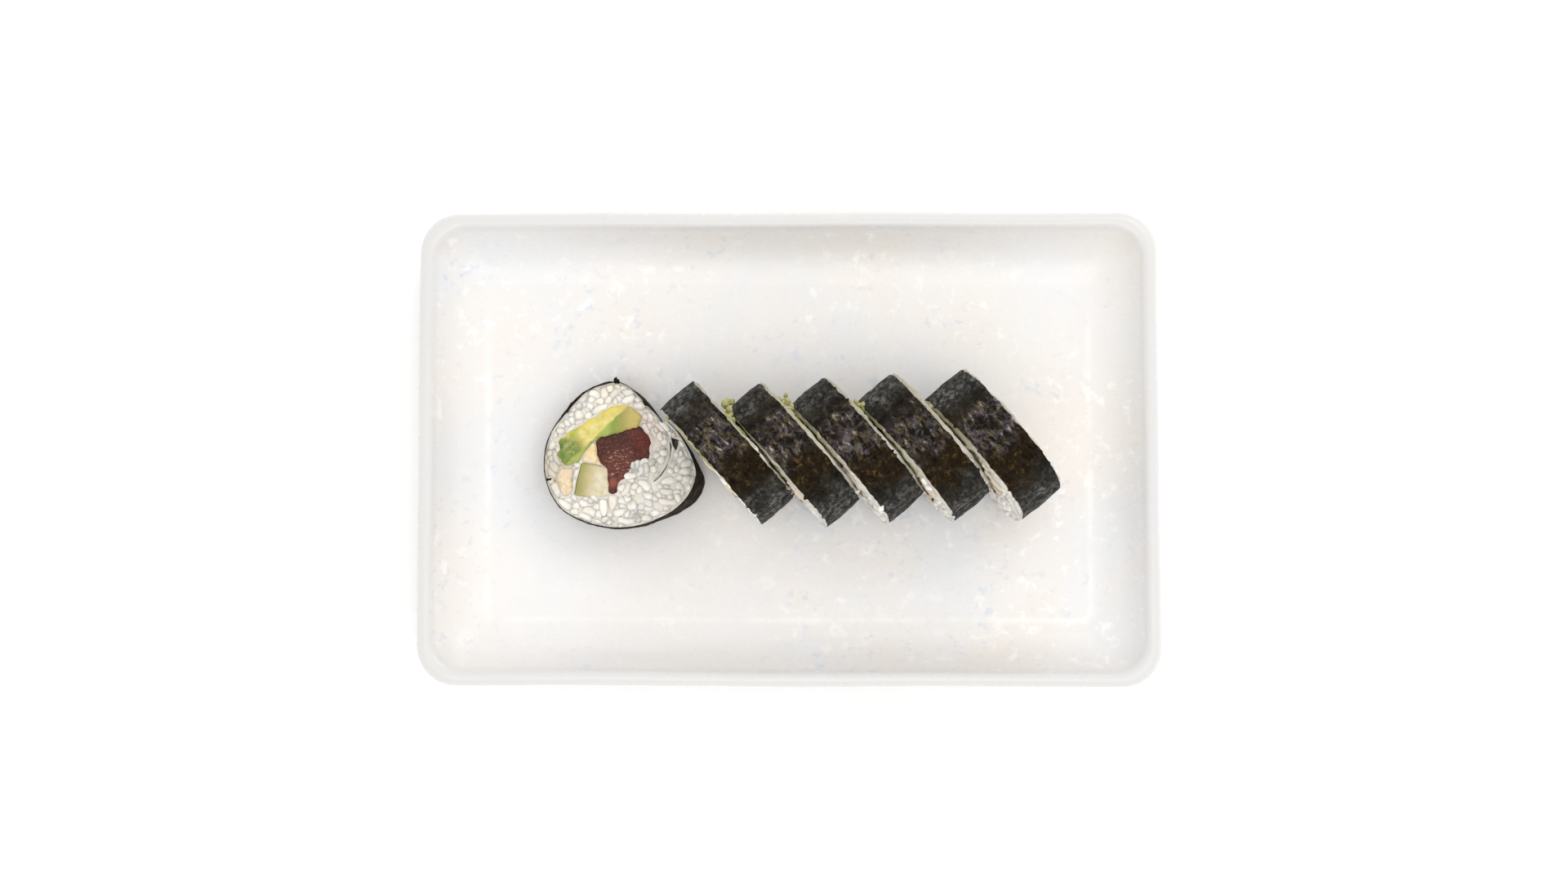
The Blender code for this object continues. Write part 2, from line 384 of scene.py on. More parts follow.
def patch(tree, place, centre, reach, soft):
    """1 within `reach` of a centre in the section, fading out over `soft` (millimetres)."""
    flatten = {0: place, 1: (1.0, 1.0, 0.15)}
    flat = add(tree, "ShaderNodeVectorMath", {"operation": "MULTIPLY"}, flatten)
    ends = {0: flat, 1: (centre[0] * MM, centre[1] * MM, 0.0)}
    away = add(tree, "ShaderNodeVectorMath", {"operation": "DISTANCE"}, ends, "Value")
    fade = {"Value": away, "From Min": reach * MM, "From Max": (reach + soft) * MM,
            "To Min": 1.0, "To Max": 0.0}
    return add(tree, "ShaderNodeMapRange", {"interpolation_type": "SMOOTHSTEP"}, fade)


def beyond(tree, place, point, heading, soft, torn=0.0):
    """1 on the side of a line that `heading` (degrees) looks toward, 0 on the other. The
    line runs through a point of the section and may wander by `torn` (millimetres)."""
    look = (math.cos(math.radians(heading)), math.sin(math.radians(heading)), 0.0)
    level = (point[0] * look[0] + point[1] * look[1]) * MM
    ends = {0: place, 1: look}
    reach = add(tree, "ShaderNodeVectorMath", {"operation": "DOT_PRODUCT"}, ends, "Value")
    wander = {0: clouds(tree, place, 1.8), 1: torn * MM, 2: reach}
    reach = add(tree, "ShaderNodeMath", {"operation": "MULTIPLY_ADD"}, wander)
    half = 0.5 * soft * MM
    fade = {"Value": reach, "From Min": level - half, "From Max": level + half}
    return add(tree, "ShaderNodeMapRange", {"interpolation_type": "SMOOTHSTEP"}, fade)


def section_place(tree):
    """Where a point is in the roll's own section, in metres."""
    return add(tree, "ShaderNodeAttribute", {"attribute_name": "section"}, {}, "Vector")


def glazed_stoneware(settings):
    """Stoneware under a satin white glaze: soft gloss, faint blue-grey flecks where the
    glaze broke, milky blooms where it pooled, and a few open pits; a painted highlight
    along the inner crease and painted shade on the rim's top."""
    material, tree = new_material("glazed_stoneware")
    place = add(tree, "ShaderNodeTexCoord", {}, {}, "Object")
    cells = add(tree, "ShaderNodeTexVoronoi", {}, {"Vector": place, "Scale": per_metre(34.0)})
    open_pit = {"Value": cells, "From Min": 0.006, "From Max": 0.014, "To Min": 0.6, "To Max": 0.0}
    colour = layered(
        tree, (*settings.glaze, 1.0),
        ("#e9e4df", clouds(tree, place, 55.0, 2.0, ((0.40, 0.0), (0.66, 1.0)))),
        ("#e2e5e9", clouds(tree, place, 38.0, 2.0, ((0.50, 0.0), (0.72, 0.7)))),
        ("#c8d2e2", clouds(tree, place, 26.0, 4.0, ((0.44, 0.0), (0.62, 1.0))),
         clouds(tree, place, 3.4, 5.0, ((0.57, 0.0), (0.66, 1.0)), 0.62), 0.6),
        ("#f6f5f3", clouds(tree, place, 5.0, 6.0, ((0.56, 0.0), (0.64, 0.75)), 0.7),
         clouds(tree, place, 60.0, 2.0, ((0.44, 0.15), (0.62, 1.0)))),
        # Painted highlight along the crease where the inner wall meets the floor.
        ("#f6f4f1", clouds(tree, place, 14.0, 3.0, ((0.36, 0.1), (0.60, 1.0))), "foot", 0.7),
        # Painted shade darkening the rim's top.
        ("#d3d2d1", "rim", 0.85),
        ("#5c5348", add(tree, "ShaderNodeMapRange", {}, open_pit)),
    )
    gloss = clouds(tree, place, 7.0, 4.0, ((0.35, 0.24), (0.7, 0.36)))
    peel = clouds(tree, place, 2.2)
    swell = clouds(tree, place, 18.0, 1.0)
    normal = relief(tree, (peel, 0.05), (swell, 0.5))
    return finish(material, {
        "Base Color": colour, "Roughness": gloss, "Normal": normal, "IOR": 1.52,
    })


def toasted_nori():
    """Pressed, toasted seaweed gone limp on rice: near black with brown and olive
    patches, painted highlights and glints on crumpled ridges on top with painted dark
    reflection between them, and a painted grey sheen of grazing reflection on the shoulders."""
    material, tree = new_material("toasted_nori")
    sheet = add(tree, "ShaderNodeAttribute", {"attribute_name": "sheet"}, {}, "Vector")
    swirl = {"Vector": sheet, "Scale": per_metre(3.5), "Detail": 3.0}
    swirl = add(tree, "ShaderNodeTexNoise", {}, swirl, "Color")
    stray = {0: swirl, 1: (3.2 * MM, 3.2 * MM, 0.0), 2: sheet}
    bent = add(tree, "ShaderNodeVectorMath", {"operation": "MULTIPLY_ADD"}, stray)
    fibre = fibrous(tree, bent, 0.8, (1.0, 2.4, 1.0), 3.6, 7.0, 0.70)
    cross = fibrous(tree, bent, -0.5, (2.2, 1.0, 1.0), 3.0, 7.0, 0.72)
    # Ridge masks for painted highlights on the crumpled sheet; the brightest fibres give painted
    # glints.
    ridge, glint = (
        add(tree, "ShaderNodeValToRGB", {}, {"Fac": fibre}, 0, ((low, 0.0), (high, 1.0)))
        for low, high in ((0.47, 0.62), (0.60, 0.68))
    )
    ridge_cross = add(
        tree, "ShaderNodeValToRGB", {}, {"Fac": cross}, 0, ((0.50, 0.0), (0.65, 1.0))
    )
    lighter = {"data_type": "RGBA", "blend_type": "LIGHTEN"}
    pale = add(tree, "ShaderNodeMix", lighter, {0: 1.0, 6: ridge, 7: ridge_cross}, 2)
    # Where the painted highlights spread.
    highlight_spread = clouds(tree, sheet, 5.5, 4.0, ((0.32, 0.15), (0.60, 1.0)))
    mottle = clouds(tree, sheet, 4.0, 7.0, (
        (0.38, "#0c0b09"), (0.46, "#221f1b"), (0.51, "#100f0d"), (0.58, "#2f2b25"),
        (0.66, "#443e34"),
    ), 0.72)
    bark = clouds(tree, sheet, 2.6, 8.0, (
        (0.40, "#070502"), (0.47, "#241808"), (0.51, "#0f0a04"), (0.57, "#392a12"),
        (0.66, "#625030"),
    ), 0.78)
    # Colours of the painted highlights on the top of a slice.
    tone = clouds(tree, sheet, 3.0, 4.0, ((0.42, "#8a7a5e"), (0.50, "#8b807b"), (0.58, "#786d75")))
    # Grey of the painted sheen on the shoulders: reflection of the room at a grazing angle.
    grazing_sheen = clouds(
        tree, sheet, 1.6, 6.0, ((0.38, "#1a1b1a"), (0.50, "#414240"), (0.62, "#7d7c7a")), 0.70
    )
    colour = layered(
        tree, mottle,
        ("#33281a", clouds(tree, sheet, 9.0, 4.0, ((0.50, 0.0), (0.62, 0.3)))),
        ("#453b2c", clouds(tree, sheet, 0.9, 4.0, ((0.56, 0.0), (0.70, 0.5)), 0.6)),
        (bark, "damp", 0.9),
        # On the top: painted dark reflection, then painted highlights and glints on the ridges.
        ("#120f0c", "crown", 0.65),
        (tone, pale, "crown", highlight_spread, 0.62),
        ("#d6cec8", glint, "crown", highlight_spread, 0.7),
        # Faint painted highlights on ridges all over, then painted grey sheen on the shoulders.
        ("#8a8072", pale, 0.045),
        (grazing_sheen, "ends", clouds(tree, sheet, 7.0, 4.0, ((0.34, 0.25), (0.58, 1.0))), 0.9),
    )
    wet = clouds(tree, sheet, 2.4, 4.0, ((0.36, 0.40), (0.64, 0.66)))
    crumple = add(tree, "ShaderNodeMix", {"data_type": "RGBA"}, {0: 0.5, 6: fibre, 7: cross}, 2)
    normal = relief(tree, (crumple, 0.9), (clouds(tree, sheet, 0.8, 4.0, (), 0.6), 0.12))
    return finish(material, {
        "Base Color": colour, "Roughness": wet, "Normal": normal, "IOR": 1.45,
        "Specular IOR Level": 0.04,
    })


def rice_finish(name, light, dark, sheer):
    """Cooked short-grain rice: milky and moist, light sinking in about two millimetres,
    each grain a little whiter or greyer than the next, stained pink beside the fish."""
    material, tree = new_material(name)
    place = section_place(tree)
    colour = layered(
        tree, dark,
        (light, "tint"),
        ("#f7f5ef", clouds(tree, place, 1.6, 3.0, ((0.35, 0.0), (0.7, 0.45)))),
        # Painted shade on the section's right beside slice 2, partly greyer translucent rice.
        ("#c9c9c6", patch(tree, place, (18.0, -1.0), 6.0, 7.0), 0.35),
        # Painted shade on the section's left.
        ("#c6bba6", patch(tree, place, (-22.0, -4.0), 3.0, 6.0), 0.70),
        ("#e6dcc6", patch(tree, place, (-4.0, 18.5), 4.0, 7.0), 0.35),
        ("#d6bcae", patch(tree, place, (8.6, 8.4), 2.0, 5.0), 0.50),
        ("#c99c8c", patch(tree, place, (-1.2, -9.6), 0.8, 2.2), 0.40),
        ("#b98a5e", "stain"),
        ("#a7a083", "smear"),
    )
    return finish(material, {
        "Base Color": colour, "Normal": relief(tree, (clouds(tree, place, 0.5, 2.0), 0.05)),
        "Roughness": 0.34, "IOR": 1.42, "Subsurface Weight": sheer,
        "Subsurface Radius": (1.0, 0.95, 0.88), "Subsurface Scale": 1.9 * MM,
    })


def boiled_rice():
    """The whole grains: nearly white, the light sinking well in."""
    return rice_finish("boiled_rice", "#fdf8ee", "#dbd3c5", 0.6)


def packed_rice():
    """The pressed rice between and behind the grains: a little darker, as painted shade
    in the gaps, and denser.
    """
    return rice_finish("packed_rice", "#ebe4d8", "#ddd5c7", 0.5)


def marinated_tuna():
    """Dark red fish cut across its grain: wet, fine fibres, painted pink glints where it
    catches light, browner along the side that met the air."""
    material, tree = new_material("marinated_tuna")
    place = section_place(tree)
    body = clouds(tree, place, 2.4, 6.0, (
        (0.28, "#2e110c"), (0.46, "#4f1f15"), (0.60, "#60291d"), (0.76, "#7b4033"),
    ), 0.66)
    fibre = fibrous(tree, place, 0.5, (0.9, 2.6, 1.0), 1.2, 5.0, 0.7)
    # Painted pink glints along the brightest fibres.
    pink_glints = add(tree, "ShaderNodeValToRGB", {}, {"Fac": fibre}, 0, ((0.57, 0.0), (0.615, 1.0)))
    glint_area = patch(tree, place, (-0.3, -3.2), 3.0, 3.6)
    colour = layered(
        tree, body,
        ("#3b1f16", patch(tree, place, (-3.0, 4.0), 2.5, 6.0), 0.65),
        ("#5d1c12", patch(tree, place, (7.0, 3.6), 1.0, 4.0), 0.8),
        ("#825548", clouds(tree, place, 0.55, 3.0, ((0.54, 0.0), (0.66, 0.55)))),
        # The lower area: browner, with painted pink glints on its fibres.
        ("#7c4636", glint_area, 0.25),
        ("#d4a79a", pink_glints, glint_area),
        ("#a8604c", patch(tree, place, (-2.4, -9.4), 0.9, 1.6), 0.7),
    )
    return finish(material, {
        "Base Color": colour, "Normal": relief(tree, (fibre, 0.4)), "Roughness": 0.28,
        "IOR": 1.42, "Specular IOR Level": 0.4, "Subsurface Weight": 0.10,
        "Subsurface Radius": (1.0, 0.3, 0.2), "Subsurface Scale": 0.8 * MM,
    })


def ripe_avocado():
    """Ripe avocado, butter yellow by the stone and green by the rind: waxy, faintly
    streaked by the knife, bruised olive at its thin end."""
    material, tree = new_material("ripe_avocado")
    place = section_place(tree)
    yellow = clouds(
        tree, place, 2.6, 5.0, ((0.30, "#cdbb5a"), (0.48, "#dacc78"), (0.66, "#e4da9c")), 0.6
    )
    torn = clouds(
        tree, place, 1.6, 5.0, ((0.40, "#4f7c22"), (0.52, "#868f48"), (0.66, "#b3b47c")), 0.65
    )
    across = add(tree, "ShaderNodeSeparateXYZ", {}, {"Vector": place}, "X")
    away = {"Value": across, "From Min": -4.5 * MM, "From Max": 3.2 * MM}
    away = add(tree, "ShaderNodeMapRange", {}, away)
    second_cut = add(tree, "ShaderNodeValToRGB", {}, {"Fac": away}, 0, (
        (0.0, "#a3b058"), (0.25, "#85993f"), (0.6, "#a09a4e"), (1.0, "#c0ae66"),
    ))
    bruises = [
        ("#6f6a34", patch(tree, place, centre, reach, 0.6), 0.85)
        for centre, reach in (((-10.4, 10.5), 0.5), ((-7.0, 12.9), 0.6), ((3.4, 13.9), 0.4))
    ]
    colour = layered(
        tree, yellow,
        ("#818a3c", patch(tree, place, (-17.0, 0.0), 3.4, 4.2)),
        ("#9aaa3a", patch(tree, place, (-15.6, 6.6), 1.2, 2.2), 0.85),
        (torn, patch(tree, place, (-17.6, 0.6), 3.0, 2.4), 0.75),
        ("#3f6c18", patch(tree, place, (-19.6, 2.6), 0.9, 1.4)),
        ("#e0cd3e", clouds(tree, place, 2.6, 4.0, ((0.42, 0.0), (0.58, 1.0))),
         beyond(tree, place, (-5.0, 12.4), 118.0, 2.2, 1.6), 0.75),
        (second_cut, beyond(tree, place, (-3.4, 9.4), -46.0, 0.7, 0.8)),
        *bruises,
        ("#a8a878", "stain"),
    )
    knife = fibrous(tree, place, -0.55, (0.45, 1.8, 1.0), 1.6, 4.0, 0.6)
    pulp = clouds(tree, place, 0.8, 4.0)
    return finish(material, {
        "Base Color": colour, "Normal": relief(tree, (knife, 0.6), (pulp, 0.12)),
        "Roughness": 0.38, "IOR": 1.45, "Subsurface Weight": 0.15,
        "Subsurface Radius": (0.9, 0.9, 0.3), "Subsurface Scale": 1.0 * MM,
    })


def cooked_egg():
    """Soft cooked egg strip: cream to pale peach curds, small holes, barely glossy."""
    material, tree = new_material("cooked_egg")
    place = section_place(tree)
    curd = clouds(tree, place, 2.0, 5.0, (
        (0.30, "#cfac84"), (0.46, "#decaa6"), (0.60, "#e6d7be"), (0.78, "#efe7d9"),
    ), 0.62)
    colour = layered(
        tree, curd,
        ("#ecd08a", patch(tree, place, (-8.6, 0.4), 1.4, 2.6), 0.5),
        ("#e2c3ae", patch(tree, place, (-17.6, -5.6), 1.2, 2.4), 0.35),
        ("#6b4630", patch(tree, place, (-19.6, -9.8), 0.05, 0.5)),
        ("#d6ccba", "stain"),
    )
    holes = clouds(tree, place, 1.3)
    return finish(material, {
        "Base Color": colour, "Normal": relief(tree, (holes, 0.6)), "Roughness": 0.45,
        "IOR": 1.42, "Subsurface Weight": 0.2, "Subsurface Radius": (1.0, 0.8, 0.5),
        "Subsurface Scale": 1.0 * MM,
    })


def fresh_cucumber():
    """Cucumber baton: watery pale flesh, greener toward its thin side."""
    material, tree = new_material("fresh_cucumber")
    place = section_place(tree)
    flesh = clouds(
        tree, place, 2.6, 4.0, ((0.35, "#c8bd98"), (0.52, "#d6ccb0"), (0.70, "#e1d8c3"))
    )
    across = add(tree, "ShaderNodeSeparateXYZ", {}, {"Vector": place}, "X")
    slant = {0: across.node.outputs["Y"], 1: -0.12, 2: across}
    slant = add(tree, "ShaderNodeMath", {"operation": "MULTIPLY_ADD"}, slant)
    wander = {0: clouds(tree, place, 3.4), 1: 2.4 * MM, 2: slant}
    lean = add(tree, "ShaderNodeMath", {"operation": "MULTIPLY_ADD"}, wander)
    depth = {"Value": lean, "From Min": -12.9 * MM, "From Max": -5.0 * MM}
    depth = add(tree, "ShaderNodeMapRange", {}, depth)
    green = add(tree, "ShaderNodeValToRGB", {}, {"Fac": depth}, 0, (
        (0.00, "#7c7c3c"), (0.10, "#92904f"), (0.34, "#a69f68"), (0.62, "#c0b487"),
        (1.00, "#d3c8aa"),
    ))
    inner = {"Value": lean, "From Min": -9.0 * MM, "From Max": -4.0 * MM}
    inner = add(tree, "ShaderNodeMapRange", {"interpolation_type": "SMOOTHSTEP"}, inner)
    colour = layered(
        tree, green,
        (flesh, inner),
        ("#525c2a", beyond(tree, place, (-13.8, -8.0), 168.0, 0.3, 0.3), 0.8),
        ("#8f9a48", patch(tree, place, (-12.0, -3.2), 0.8, 1.6), 0.6),
    )
    fibre = clouds(tree, place, 1.4)
    return finish(material, {
        "Base Color": colour, "Normal": relief(tree, (fibre, 0.12)), "Roughness": 0.28,
        "IOR": 1.36, "Subsurface Weight": 0.25, "Subsurface Radius": (1.0, 1.0, 0.6),
        "Subsurface Scale": 1.2 * MM,
    })


def painted_table():
    """Matt white painted board: even and pale, with the faintest roller texture."""
    material, tree = new_material("matt_white_paint")
    place = add(tree, "ShaderNodeTexCoord", {}, {}, "Object")
    roller = clouds(tree, place, 1.5, 2.0)
    return finish(material, {
        "Base Color": linear("#fdfdfd"), "Normal": relief(tree, (roller, 0.03)),
        "Roughness": 0.85, "Specular IOR Level": 0.1,
    })


MAKERS = {
    "nori": toasted_nori,
    "rice": boiled_rice,
    "core": packed_rice,
    "tuna": marinated_tuna,
    "avocado": ripe_avocado,
    "egg": cooked_egg,
    "cucumber": fresh_cucumber,
}


def shared_material(kind):
    """Makes a material the first time it is wanted and keeps it for the other slices."""
    if kind not in shared_material.made:
        shared_material.made[kind] = MAKERS[kind]()
    return shared_material.made[kind]


shared_material.made = {}


# ---------------------------------------------------------------- shapes


def field(points, size, seed=0.0):
    """Smooth noise of one feature size at each point, from about -1 to 1."""
    scaled = np.asarray(points, float) / size + seed * 7.31
    if scaled.shape[1] == 2:
        scaled = np.column_stack((scaled, np.full(len(scaled), seed)))
    return np.array([noise.noise(Vector(p)) for p in scaled])


def new_piece(name, points, faces, material, nodes=(), vectors=None, floats=None):
    """One visible piece, in the frame's own coordinates, riding on the body."""
    mesh = bpy.data.meshes.new(name)
    mesh.from_pydata((np.asarray(points) * MM).tolist(), [], faces)
    mesh.shade_smooth()
    for key, values in (vectors or {}).items():
        store = mesh.attributes.new(key, "FLOAT_VECTOR", "POINT")
        store.data.foreach_set("vector", (np.asarray(values) * MM).ravel())
    for key, values in (floats or {}).items():
        store = mesh.attributes.new(key, "FLOAT", "POINT")
        store.data.foreach_set("value", np.asarray(values, float).ravel())
    mesh.materials.append(material)
    piece = bpy.data.objects.new(name, mesh)
    bpy.context.scene.collection.objects.link(piece)
    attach(piece, BODY)
    if nodes:
        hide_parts(*nodes)
    return piece


def through(steps, along, count):
    """Values read off a smooth curve through (place, value) steps."""
    places = np.array([s[0] for s in steps], float)
    values = np.array([s[1] for s in steps], float)
    slopes = np.empty(len(places))
    slopes[1:-1] = (values[2:] - values[:-2]) / (places[2:] - places[:-2])
    slopes[0] = (values[1] - values[0]) / (places[1] - places[0])
    slopes[-1] = (values[-1] - values[-2]) / (places[-1] - places[-2])
    along = np.asarray(along, float)
    k = np.clip(np.searchsorted(places, along, side="left") - 1, 0, count - 2)
    span = places[k + 1] - places[k]
    t = (along - places[k]) / span
    value = values[k] * (2 * t ** 3 - 3 * t ** 2 + 1)
    value += values[k + 1] * (3 * t ** 2 - 2 * t ** 3)
    value += span * slopes[k] * (t ** 3 - 2 * t ** 2 + t)
    value += span * slopes[k + 1] * (t ** 3 - t ** 2)
    return value


def sheet_radius(angles):
    """Radius of the nori's outer face at each angle along its spiral, in degrees."""
    return through(SHEET, angles, len(SHEET))


def polar(angles, radii):
    """Flat points at these angles, in degrees, and radii."""
    a = np.radians(angles)
    return np.column_stack((radii * np.cos(a), radii * np.sin(a)))


def anticlockwise(loop):
    """The same outline, run round against the clock."""
    loop = np.asarray(loop, float)
    after = np.roll(loop, -1, axis=0)
    area = np.sum(loop[:, 0] * after[:, 1] - after[:, 0] * loop[:, 1])
    return loop if area > 0 else loop[::-1]


def soften(loop, share, rounds=2):
    """Cuts every corner of a closed outline back by a share of its edges."""
    loop = anticlockwise(loop)
    for _ in range(rounds):
        after = np.roll(loop, -1, axis=0)
        first = loop + (after - loop) * share
        second = after + (loop - after) * share
        loop = np.stack((first, second), axis=1).reshape(-1, 2)
    return loop


def resampled(loop, spacing):
    """The same closed outline with points about evenly spaced."""
    closed = np.vstack((loop, loop[:1]))
    steps = np.hypot(*np.diff(closed, axis=0).T)
    reach = np.concatenate(([0.0], np.cumsum(steps)))
    count = max(8, int(round(reach[-1] / spacing)))
    at = np.linspace(0.0, reach[-1], count, endpoint=False)
    return np.column_stack([np.interp(at, reach, closed[:, i]) for i in (0, 1)])


def inside(points, loop):
    """Which points lie inside a closed outline."""
    x, y = points[:, 0][:, None], points[:, 1][:, None]
    x0, y0 = loop[:, 0], loop[:, 1]
    x1, y1 = np.roll(x0, -1), np.roll(y0, -1)
    crosses = (y0 > y) != (y1 > y)
    rise = np.where(y1 == y0, 1e-9, y1 - y0)
    left = x < (x1 - x0) * (y - y0) / rise + x0
    return (crosses & left).sum(axis=1) % 2 == 1


def edge_distance(points, loops):
    """Distance from each point to the nearest edge of any outline."""
    best = np.full(len(points), 1e9)
    for loop in loops:
        start = loop
        run = np.roll(loop, -1, axis=0) - start
        length = np.maximum((run ** 2).sum(axis=1), 1e-12)
        for first in range(0, len(points), 2000):
            part = points[first:first + 2000]
            away = part[:, None, :] - start[None, :, :]
            t = np.clip((away * run).sum(axis=2) / length, 0.0, 1.0)
            gap = away - t[:, :, None] * run
            near = np.sqrt((gap ** 2).sum(axis=2)).min(axis=1)
            best[first:first + 2000] = np.minimum(best[first:first + 2000], near)
    return best


def filled(outline, holes, spacing):
    """A flat region as evenly sized triangles, with its border and depth inside it."""
    loops = [anticlockwise(resampled(loop, spacing)) for loop in (outline, *holes)]
    low, high = loops[0].min(axis=0), loops[0].max(axis=0)
    rows = np.arange(low[1], high[1], spacing * 0.87)
    grid = [
        np.column_stack((
            np.arange(low[0] + (i % 2) * spacing / 2, high[0], spacing),
            np.full(len(np.arange(low[0] + (i % 2) * spacing / 2, high[0], spacing)), y),
        ))
        for i, y in enumerate(rows)
    ]
    grid = np.vstack(grid)
    keep = inside(grid, loops[0])
    for hole in loops[1:]:
        keep &= ~inside(grid, hole)
    grid = grid[keep]
    grid = grid[edge_distance(grid, loops) > spacing * 0.55]
    points = [Vector(p) for p in np.vstack((*loops, grid))]
    rings = []
    total = 0
    for loop in loops:
        rings.append(list(range(total, total + len(loop))))
        total += len(loop)
    found = delaunay_2d_cdt(points, [], rings, 1, 1e-6, True)
    kept = [tuple(t) for t, own in zip(found[2], found[5]) if list(own) == [0]]
    used = sorted({i for t in kept for i in t})
    order = {old: new for new, old in enumerate(used)}
    flat = np.array([(found[0][i].x, found[0][i].y) for i in used])
    kept = [tuple(order[i] for i in t) for t in kept]
    edges = {(t[i], t[(i + 1) % 3]) for t in kept for i in range(3)}
    border = [e for e in edges if (e[1], e[0]) not in edges]
    return flat, kept, border, edge_distance(flat, loops)


def stain_of(points):
    """How much each point is stained, from 0 to 1."""
    most = np.zeros(len(points))
    for middle, reach in STAINS:
        away = np.sqrt(((points - np.array(middle)) ** 2).sum(axis=1))
        most = np.maximum(most, np.clip(1.3 - away / reach, 0.0, 1.0))
    return most


def smear_of(number, points):
    """How olive the avocado has left the rice toward a standing slice's raised end."""
    if number == 1:
        return np.zeros(len(points))
    spin, shift = standing_turn(STANDING[number - 2][1])
    along = (points[:, :2] @ spin + shift)[:, 0]
    return 0.85 * np.clip((along + 7.0) / 11.0, 0.0, 1.0)


def slab(
    name, region, span, place, material, nodes, face, wall=0.15, seed=0.0, stale=0.0,
    waist=0.0, number=1,
):
    """A closed body between two finished cut faces. face(flat, side) is how far each
    point of a face stands out of the cut."""
    flat, triangles, border, _ = region
    count = len(flat)
    front = span[1] + face(flat, 1)
    back = span[0] - face(flat, -1)
    rim = sorted({i for e in border for i in e})
    rank = {i: n for n, i in enumerate(rim)}
    rim_flat = flat[rim]
    levels = np.linspace(-1.0, 1.0, 9)[1:-1]
    points = [np.column_stack((flat, front)), np.column_stack((flat, back))]
    for n, level in enumerate(levels):
        mix = (level + 1.0) / 2.0
        height = back[rim] * (1.0 - mix) + front[rim] * mix
        here = np.column_stack((rim_flat, height))
        shift = field(here, 2.5, seed + 3.0) * wall
        toward = rim_flat / np.maximum(np.hypot(*rim_flat.T), 1.0)[:, None]
        here[:, :2] += toward * (np.minimum(shift, 0.05) - waist * (1.0 - level ** 4))[:, None]
        points.append(here)
    points = np.vstack(points)
    faces = list(triangles) + [(c + count, b + count, a + count) for a, b, c in triangles]

    def level_index(i, n):
        if n < 0:
            return count + i
        if n == len(levels):
            return i
        return 2 * count + n * len(rim) + rank[i]

    for a, b in border:
        for n in range(-1, len(levels)):
            faces.append((
                level_index(a, n), level_index(b, n),
                level_index(b, n + 1), level_index(a, n + 1),
            ))
    return new_piece(
        name,
        place(points),
        faces,
        material,
        nodes,
        {"section": points},
        {
            "tint": 0.5 + 0.5 * field(points, 3.0, seed),
            "stain": stain_of(place(points)) + stale,
            "smear": smear_of(number, points),
        },
    )


# ---------------------------------------------------------------- where a slice sits


def flat_place(points):
    """Slice 1, cut face up: x and y as the section lies, w upward."""
    points = np.asarray(points, float)
    radius = np.hypot(points[:, 0], points[:, 1])
    angle = np.degrees(np.arctan2(points[:, 1], points[:, 0]))
    level = points[:, 2] / FLAT_THICK + 0.5
    off = (angle - FLAT_SPREAD_AT + 180.0) % 360.0 - 180.0
    push = np.cos(np.radians(90.0 * off / FLAT_SPREAD_HALF)) ** 2
    push = np.where(np.abs(off) < FLAT_SPREAD_HALF, FLAT_SPREAD * push, 0.0)
    push *= (1.0 - level) * np.minimum(radius / FLAT_RADIUS, 1.1) ** 3
    spot = points[:, :2] * (1.0 + push / np.maximum(radius, 1.0))[:, None]
    toward = np.array((math.cos(math.radians(PRESS_AT)), math.sin(math.radians(PRESS_AT))))
    t = np.clip((spot @ toward - PRESS_FROM) / (PRESS_WIDEST - PRESS_FROM), 0.0, 1.0)
    spot = spot - toward * (PRESS_BY * t * t * (3.0 - 2.0 * t))[:, None]
    return np.column_stack((
        FLAT_MIDDLE[0] + spot[:, 0],
        FLAT_MIDDLE[1] + spot[:, 1],
        DISH_FLOOR + GAP + points[:, 2] + FLAT_THICK / 2,
    ))


def standing_turn(turn):
    """Turns section points as a standing slice is rolled, and rests it on the dish."""
    c, s = math.cos(math.radians(turn)), math.sin(math.radians(turn))
    spin = np.array(((c, s), (-s, c))) * STAND_SCALE
    angles = np.linspace(SHEET_START, SHEET_END, NORI_ROWS)
    rim = polar(angles, sheet_radius(angles)) @ spin
    return spin, np.array((-(rim[:, 0].min() + rim[:, 0].max()) / 2, -rim[:, 1].min()))


def standing_place(number, heading, turn):
    """Slices 2 to 6: axis level, nori side down, centred on the CAD slice."""
    low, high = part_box(f"slice_{number}_nori")
    middle = (low + high) / 2 / MM
    spin, shift = standing_turn(turn)
    a = math.radians(heading)
    along = np.array((math.sin(a), -math.cos(a), 0.0))
    axis = np.array((-math.cos(a), -math.sin(a), 0.0))
    base = np.array((middle.x, middle.y, DISH_FLOOR + GAP))

    def place(points):
        points = np.asarray(points, float)
        turned = points[:, :2] @ spin + shift
        where = base + turned[:, :1] * along + points[:, 2:] * axis
        where[:, 2] += turned[:, 1]
        return where

    return place


def slice_plan():
    """(number, place, turn, (nori from, to), (rice from, to)) for each slice."""
    half = FLAT_THICK / 2
    plan = [(1, flat_place, None, (-half, half), (-half, half))]
    for number, (heading, turn, width, near, far) in enumerate(STANDING, start=2):
        place = standing_place(number, heading, turn)
        half = width / 2
        plan.append((number, place, turn, (-half, half), (-half - near, half + far)))
    return plan


# ---------------------------------------------------------------- dish


# Points along the dish's long sides, short sides and corners.
LONG_STEPS = 72
SHORT_STEPS = 46
CORNER_STEPS = 14


